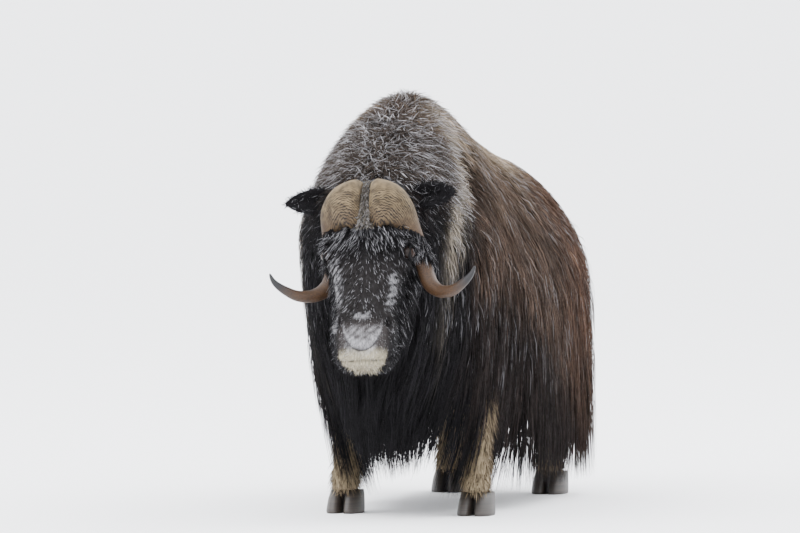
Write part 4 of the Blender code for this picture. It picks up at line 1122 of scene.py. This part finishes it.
def clear_of_head(points):
    """Moves what would pass through the head out to just beyond its sides."""
    flat = points.reshape(-1, 3)
    a, l, n = to_head(flat).T
    n = n - HEAD_MIDDLE
    rise = np.where(n > 0, along(HEAD_DORSAL, a) - HEAD_MIDDLE, along(HEAD_VENTRAL, a) + HEAD_MIDDLE)
    reach = np.sqrt((l / along(HEAD_WIDTH, a)) ** 2 + (n / rise) ** 2)
    inside = (a > -0.06) & (a < 0.56) & (reach < HEAD_MARGIN)
    grow = np.where(inside, HEAD_MARGIN / np.maximum(reach, 0.25), 1.0)
    moved = in_head(np.stack([a, l * grow, HEAD_MIDDLE + n * grow], -1))
    return np.where(inside[:, None], moved, flat).reshape(points.shape)


print("hem at the flank", COAT_HEM[-1][1], "m")

# %% [markdown]
# Each path carries a lock of eleven tufts. They start side by side, run on together in a slight wave and
# close up to the lock's tip. Some are frosted at their ends, and those are short, so that the white lies
# over the coat and not in its hem. Locks differ in shade, as wet and windblown hair does. The colour is
# worked out along the hair, so that the zones keep their place where hair hangs across them.

# %% Locks from paths
# Where the rings of a tuft lie along it: more of them for long hair, which has to bend.
LONG, MIDDLING, SHORT = (0, 0.10, 0.34, 0.68, 1), (0, 0.16, 0.5, 1), (0, 0.3, 1)
LOCK_SPREAD, LOCK_WAVE, LOCK_GATHER = 0.014, 0.008, 0.85
ICED_SHARE = 0.42  # a frosted tuft's length as a share of the others'
LOWEST_TIP = 0.05
ROOT_TONE, PLACE_TONE = 0.18, 0.82  # a tuft's colour comes partly from its root and mostly from its place


def path_values(table, at):
    """Rows of a table of paths at fractional steps, tufts by stations."""
    low = np.clip(at.astype(int), 0, table.shape[1] - 2)
    rows = np.arange(len(table))[:, None]
    share = np.clip(at - low, 0, 1)[..., None]
    return table[rows, low] * (1 - share) + table[rows, low + 1] * share


def coat_locks(name, paths, outs, reach, points, roots, each, length, lift, width):
    """One piece of the coat: each lock's tufts along its path. length, lift and reach are for each lock."""
    locks = len(paths)
    marks, frost = body_marking(points)
    owner = np.repeat(np.arange(locks), each)
    count = len(owner)
    t = np.array(LONG)[None]
    long = length[owner] * chance.uniform(0.6, 1.05, locks)[owner] * chance.uniform(0.75, 1.1, count)
    first = chance.uniform(0, 0.06, count)
    top = chance.uniform(0.05, 1.0, count) ** 0.8
    iced = (chance.random(count) < frost[owner] * (0.4 + 0.9 * top)) * chance.uniform(0.12, 0.6, count)
    long = np.where(iced > 0, long * ICED_SHARE, long)
    long = np.maximum(np.minimum(long, reach[owner] + chance.uniform(-0.035, 0.02, count) - first), 0.03)
    at = (first[:, None] + long[:, None] * t) / STEP
    centre, outward = path_values(paths[owner], at), unit(path_values(outs[owner], at))
    side = unit(np.cross(outward, unit(np.gradient(centre, axis=1))))
    offset = chance.normal(0, 1, (count, 1)) * LOCK_SPREAD
    phase = (chance.uniform(0, 6.28, locks)[owner] + chance.normal(0, 0.5, count))[:, None]
    bend = LOCK_WAVE * np.sin(phase + long[:, None] * t * 16) * t
    across = offset * (1 - LOCK_GATHER * t) + (bend + chance.normal(0, 0.011, (count, 1)) * t ** 2)
    up = (lift[owner] * top)[:, None] * (1 - (1 - t) ** 2) - SKIN_DEPTH * 1.1 * (1 - t) ** 3
    centre = clear_of_head(centre + side * across[..., None] + outward * up[..., None])
    centre[..., 2] = np.maximum(centre[..., 2], LOWEST_TIP)
    lock_shade = np.exp(chance.normal(0, 0.30, locks))[owner]
    # Tufts that lie lower in the coat, with a small top, are painted darker: painted shade under the hair
    # above them.
    shade = lock_shade * np.exp(chance.normal(0, 0.28, count)) * (0.75 + 0.45 * top)
    in_place = body_marking(centre.reshape(-1, 3))[0].reshape(centre.shape)
    base = (marks[owner][:, None] * ROOT_TONE + in_place * PLACE_TONE) * shade[:, None, None]
    colours = base * (0.45 + 0.6 * np.minimum(t * 2.2, 1))[..., None]
    white = (iced[:, None] * smooth_step(0.5, 0.95, t))[..., None]
    colours = colours + (TONES["frost"] * 0.9 - colours) * white
    half = (width / 2 * chance.uniform(0.5, 1.15, count) * (1.45 - 0.75 * top))[:, None]
    half = half * (0.55 + 0.45 * np.minimum(t * 5, 1)) * (1 - 0.75 * t ** 3)
    tuft_mesh(name, centre, outward, half, colours, roots[owner])


print("rings of a long tuft at", LONG)

# %% [markdown]
# The hanging coat is made in eight pieces, four to a side, so that none of them is too heavy. Hair is
# short along the ridge of the back and longer down the sides, where its tips also stand out farther.

# %% The hanging coat
def ridge_drop(points):
    """How far below the ridge each place lies."""
    return SHOULDER_HEIGHT * along(BACK_LINE, points[:, 1]) - points[:, 2]


def hair_length(points):
    """How long the hair rooted at each place is."""
    y, z = points[:, 1], points[:, 2]
    trunk = 0.15 + 0.48 * smooth_step(0.05, 0.42, ridge_drop(points))
    mane = 0.085 + 0.28 * smooth_step(1.00, 0.74, z)
    share = smooth_step(-0.42, -0.58, y)
    return trunk * (1 - share) + mane * share


def hair_lift(points):
    """How far the tips of the hair rooted at each place stand out of the body."""
    drop = smooth_step(0.02, 0.22, ridge_drop(points))
    neck = smooth_step(-0.45, -0.65, points[:, 1])
    return 0.016 + 0.036 * drop - 0.018 * neck * drop


# Name, first and last place, highest root, locks, width of a tuft and slot.
COAT_REGIONS = (("mane_fall", -0.97, -0.50, 1.02, 400, 0.0046, "coat_dark"),
                ("shoulder", -0.50, -0.14, 2, 400, 0.0048, "coat_brown"),
                ("flank", -0.14, 0.42, 2, 480, 0.0048, "coat_brown"),
                ("rump", 0.42, 0.98, 2, 380, 0.0048, "coat_brown"))
TUFTS_PER_LOCK = 11

for name, first, last, top, locks, width, slot in COAT_REGIONS:
    for side, word in SIDES:
        def wanted(points, normals):
            x, y, z = points.T
            inside = (y >= first) & (y < last) & (x * side > 0) & (z < top)
            return inside * smooth_step(-0.75, -0.25, normals[:, 2])

        s, t, points, normals = scatter(trunk_core, locks, wanted)
        paths, outs, reach = traced(s, t, chance.normal(0, 0.10, locks))
        coat_locks(f"coat_{name}_{word}", paths, outs, reach, points, unwrapped("trunk", s, t),
                   TUFTS_PER_LOCK, hair_length(points), hair_lift(points), width)

# %% [markdown]
# Hair on the head, the ears and the legs is short and stands straight from where it is rooted, leaning
# the way it lies: down the face, back along the cheeks, out to the ears' tips, down the legs. It needs
# no path, only a root, a way to lean and a length.

# %% Short tufts from roots
def short_tufts(name, points, normals, ways, lengths, lift, width, colours, tips, roots,
                stations=SHORT, sag=0.0, stray=0.22, sink=0.003):
    """One piece of short hair: each tuft leans along its way, and its tip stands out by a share, lift."""
    count = len(points)
    t = np.array(stations)[None]
    colours, tips = (np.broadcast_to(tones, (count, 3))[:, None] for tones in (colours, tips))
    ways = ways - normals * np.sum(ways * normals, -1)[:, None] + chance.normal(0, stray, (count, 3))
    ways = unit(ways - normals * np.sum(ways * normals, -1)[:, None])
    lengths = lengths * chance.uniform(0.6, 1.25, count)
    rise = lengths * lift * chance.uniform(0.3, 1.3, count)
    centre = (points[:, None] + ways[:, None] * (lengths[:, None] * t)[..., None]
              + normals[:, None] * (rise[:, None] * (1 - (1 - t) ** 1.6) - sink * (1 - t))[..., None])
    centre[..., 2] -= sag * lengths[:, None] * t ** 2
    shade = np.exp(chance.normal(0, 0.25, count))[:, None, None]
    share = smooth_step(0.1, 1.0, t)[..., None]
    tinted = (colours * (0.6 + 0.4 * share) * (1 - share) + tips * share) * shade
    half = np.broadcast_to(width, count)[:, None] / 2 * chance.uniform(0.7, 1.2, (count, 1)) * (1 - 0.5 * t)
    outward = np.repeat(normals[:, None], len(stations), 1)
    tuft_mesh(name, centre, outward, half, tinted, roots)


def frosted(count, colours, frost, amount):
    """Tip colours, where a share of the tufts, given by frost, goes towards white by about an amount."""
    share = (chance.random(count) < frost) * chance.uniform(0.3, 1.0, count) * amount
    return colours * 1.25 + (TONES["frost"] - colours * 1.25) * share[:, None]


print("rings of a short tuft at", SHORT)

# %% [markdown]
# Mane and hump carry a dense, crinkled wool that stands up more than it hangs, pale where frost sits on
# it. Its tufts stray from one another more than the others do, and they are rooted deeper, at the skin.

# %% Wool of the mane and the hump
WOOL_TUFTS = 10500
# Behind the horns and the ears the wool is black, partly dark hair and partly painted shadow under the boss
# and the ears: middle and reach of that patch, on the head's axes.
DARK_PLACE, DARK_REACH = (0.03, 0, -0.02), (0.105, 0.27, 0.22)
for side, word in SIDES:
    def wool_wanted(points, normals):
        x, y, z = points.T
        hump = smooth_step(-0.16, -0.34, y) * smooth_step(0.16, 0.08, ridge_drop(points))
        mane = smooth_step(-0.52, -0.62, y) * smooth_step(0.86, 0.96, z)
        return (x * side > 0) * np.maximum(hump, mane)

    s, t, points, normals = scatter(trunk_core, WOOL_TUFTS, wool_wanted)
    marks, frost = body_marking(points)
    # The black patch, without frost, is dark hair together with painted shadow under the boss and the ears.
    dark = np.exp(-np.linalg.norm((to_head(points) - DARK_PLACE) / DARK_REACH, axis=1) ** 4)
    marks = blended(marks, "black", dark * 0.9)
    x = points[:, 0]
    down = np.stack([0.5 * np.sign(x) * np.clip(np.abs(x) * 8, 0, 1), 0.4 + 0 * s, -1 + 0 * s], -1)
    short_tufts(f"coat_wool_{word}", points, normals, down, 0.040 + 0.018 * chance.random(WOOL_TUFTS), 0.42,
                0.0036, marks * 0.6, frosted(WOOL_TUFTS, marks, frost * (1 - dark), 0.85),
                unwrapped("trunk", s, t), MIDDLING, sag=0.25, stray=0.75, sink=SKIN_DEPTH)

# %% [markdown]
# The hair of the face is under a centimetre long on the nose and over five on the cheeks. Its length, its
# way and its colour change across the head, so a function of the place gives each of them. It keeps clear
# of the eyes, the nostrils and the mouth.

# %% Hair of the face
FACE_TUFTS = 13000


def face_core(s, t):
    return in_head(head_places(s, t))


def face_wanted(points, normals):
    """Where hair grows on the head, and how densely."""
    places = to_head(points)
    a, l, n = places[:, 0], np.abs(places[:, 1]), places[:, 2]
    mirrored = np.stack([a, l, n], -1)
    clear_of_eye = np.linalg.norm(mirrored - EYE_PLACE, axis=1) > 0.020
    clear_of_mouth = distance_to_line(mirrored, MOUTH_POINTS) > np.where(l < 0.035, 0.0055, 0.0025)
    under_boss = (a < 0.13) & (n > 0.02)
    grows = clear_of_eye & clear_of_mouth & (nostril_reach(places) > 1.05) & ~under_boss & (a > 0.0)
    pad = smooth_step(0.455, 0.47, a) * smooth_step(0.05, 0.035, l) * (n > 0)
    return grows * (1 - 0.5 * pad) * (1 + 1.8 * smooth_step(0.38, 0.46, a))


def face_length(places):
    a, l, n = places.T
    brow = smooth_step(0.25, 0.16, a) * smooth_step(0.0, 0.04, n)
    cheek = smooth_step(0.02, -0.05, n) * smooth_step(0.50, 0.38, a)
    muzzle = smooth_step(0.38, 0.47, a) * smooth_step(-0.04, 0.0, n)
    chin = smooth_step(-0.03, -0.07, n) * smooth_step(0.40, 0.46, a)
    return (0.019 + 0.026 * brow + 0.036 * cheek) * (1 - muzzle) + 0.0085 * muzzle - 0.006 * chin


def face_way(places):
    """Which way the hair lies on the head: down the face, and back and down below the cheeks."""
    cheek = smooth_step(0.02, -0.06, places[:, 2])
    ways = np.stack([1.0 - 0.45 * cheek, np.sign(places[:, 1]) * 0.30, -0.15 - 0.65 * cheek], -1)
    return ways @ HEAD_AXES.T


s, t, points, normals = scatter(face_core, FACE_TUFTS, face_wanted)
places = to_head(points)
colours, frost = head_marking(places)
lengths = face_length(places)
short_tufts("coat_face", points, normals, face_way(places), lengths, 0.6, 0.0014 + 0.06 * lengths,
            colours * 0.8, frosted(FACE_TUFTS, colours * 1.3, frost, 0.8), unwrapped("head", s, t))

# %% [markdown]
# A narrow strip of grey wool parts the two halves of the boss, and a cuff of dark hair hides the edge
# where each horn comes off the head.

# %% Woolly strip between the horns, and the hair round their bases
STRIP_TUFTS, CUFF_TUFTS = 1200, 1700


def strip_wanted(points, normals):
    a, l, n = to_head(points).T
    return 1.0 * ((a > -0.03) & (a < 0.15) & (np.abs(l) < 0.017) & (n > 0.08))


def cuff_wanted(points, normals):
    a, l, n = to_head(points).T
    return 1.0 * ((np.abs(l) > 0.105) & (a > 0.135) & (a < 0.190))


s, t, points, normals = scatter(face_core, STRIP_TUFTS, strip_wanted)
across = to_head(points)[:, 1]
points = points + HEAD_AXES[:, 1] * (across * 0.35)[:, None] + HEAD_AXES[:, 2] * 0.004
colours = TONES["curtain"] * 0.30
outwards = np.tile(HEAD_AXES[:, 2], (STRIP_TUFTS, 1))
ways = HEAD_AXES[:, 0] + HEAD_AXES[:, 1] * (across * 20)[:, None]
short_tufts("coat_strip", points, outwards, ways, 0.018, 0.55, 0.0024, colours,
            frosted(STRIP_TUFTS, colours, 0.5, 0.6), unwrapped("head", s, t), stray=0.3)
for side, word in SIDES:
    s, t, points, normals = scatter(horn_surface(side), CUFF_TUFTS, cuff_wanted)
    down_head = along(((-0.08, 0.0), (0.562, 1.0)), to_head(points)[:, 0])
    short_tufts(f"coat_cuff_{word}", points, normals, HEAD_AXES @ (1.0, 0.1 * side, 0.0), 0.036, 0.40,
                0.0034, TONES["black"], frosted(CUFF_TUFTS, TONES["black"], 0.30, 0.8),
                unwrapped("head", down_head, 0.5 + side * 0.2 + 0 * s))

# %% [markdown]
# The hair of the ears points to their tips. Pale hair runs down the lower legs to the hooves, with some
# dark tufts among it, as in a worn coat. The tail is a short brown tassel.

# %% Hair of the ears, the legs and the tail
EAR_TUFTS, LEG_TUFTS, TAIL_TUFTS = 1100, 2400, 900
for (name, surface), (side, word) in zip(ears.items(), SIDES):
    s, t, points, normals = scatter(surface, EAR_TUFTS)
    short_tufts("coat_" + name, points, normals, HEAD_AXES @ (EAR_REACH[side] * [1, side, 1]),
                0.014 + 0.016 * (1 - s), 0.45, 0.0026, TONES["black"] * 0.9,
                frosted(EAR_TUFTS, TONES["black"] * 0.9, 0.12, 0.5), unwrapped(name, s, t))
for name, surface in legs.items():
    s, t, points, normals = scatter(surface, LEG_TUFTS, lambda p, n: smooth_step(0.62, 0.5, p[:, 2]))
    z = points[:, 2]
    pale = smooth_step(0.43, 0.33, z)
    colours = blended(np.tile(TONES["deep_brown"], (LEG_TUFTS, 1)), "cream", pale)
    colours = blended(colours, "tan", chance.uniform(0, 0.8, LEG_TUFTS) * pale)
    colours = blended(colours, "deep_brown", (chance.random(LEG_TUFTS) < 0.16) * 0.8)
    lengths = 0.042 + 0.03 * smooth_step(0.25, 0.42, z) - 0.012 * smooth_step(0.16, 0.10, z)
    short_tufts("coat_" + name, points, normals, [0.0, 0.0, -1.0], lengths, 0.36, 0.0034, colours * 0.6,
                colours, unwrapped(name, s, t))
s, t, points, normals = scatter(tail_surface, TAIL_TUFTS)
colours = body_marking(points)[0]
short_tufts("coat_tail", points, normals, [0.0, 0.3, -1.0], 0.075, 0.10, 0.0048, colours * 0.8,
            colours * 1.2, unwrapped("tail", s, t))

# %% [markdown]
# The hair of throat and chest hangs as a bib. The trunk faces downwards there, so a path that follows its
# slope would lead nowhere. These paths fall straight down instead, and close towards the middle.

# %% Bib under the throat
BIB_LOCKS, BIB_TUFTS_PER_LOCK = 260, 9
BIB_HEM = ((-0.90, 0.20), (-0.72, 0.12), (-0.50, 0.10))


def bib_wanted(points, normals):
    y = points[:, 1]
    return 1.0 * ((normals[:, 2] < -0.2) & (y < -0.50) & (y > -0.90))


s, t, points, normals = scatter(trunk_core, BIB_LOCKS, bib_wanted)
steps = np.arange(PATH_STEPS) * STEP
paths = points[:, None] + np.array([0, 0, -1.0]) * steps[:, None]
paths[..., 0] *= 1 - 0.55 * smooth_step(0.0, 0.45, steps)
paths[..., 2] += 0.03
away = unit(np.stack([points[:, 0] * 2, -np.ones(BIB_LOCKS), np.zeros(BIB_LOCKS)], -1))
outs = np.repeat(away[:, None], PATH_STEPS, 1)
reach = points[:, 2] - along(BIB_HEM, points[:, 1]) - chance.uniform(0, 0.06, BIB_LOCKS)
coat_locks("coat_bib", paths, outs, reach, points, unwrapped("trunk", s, t), BIB_TUFTS_PER_LOCK,
           np.full(BIB_LOCKS, 0.45), np.full(BIB_LOCKS, 0.02), 0.0048)
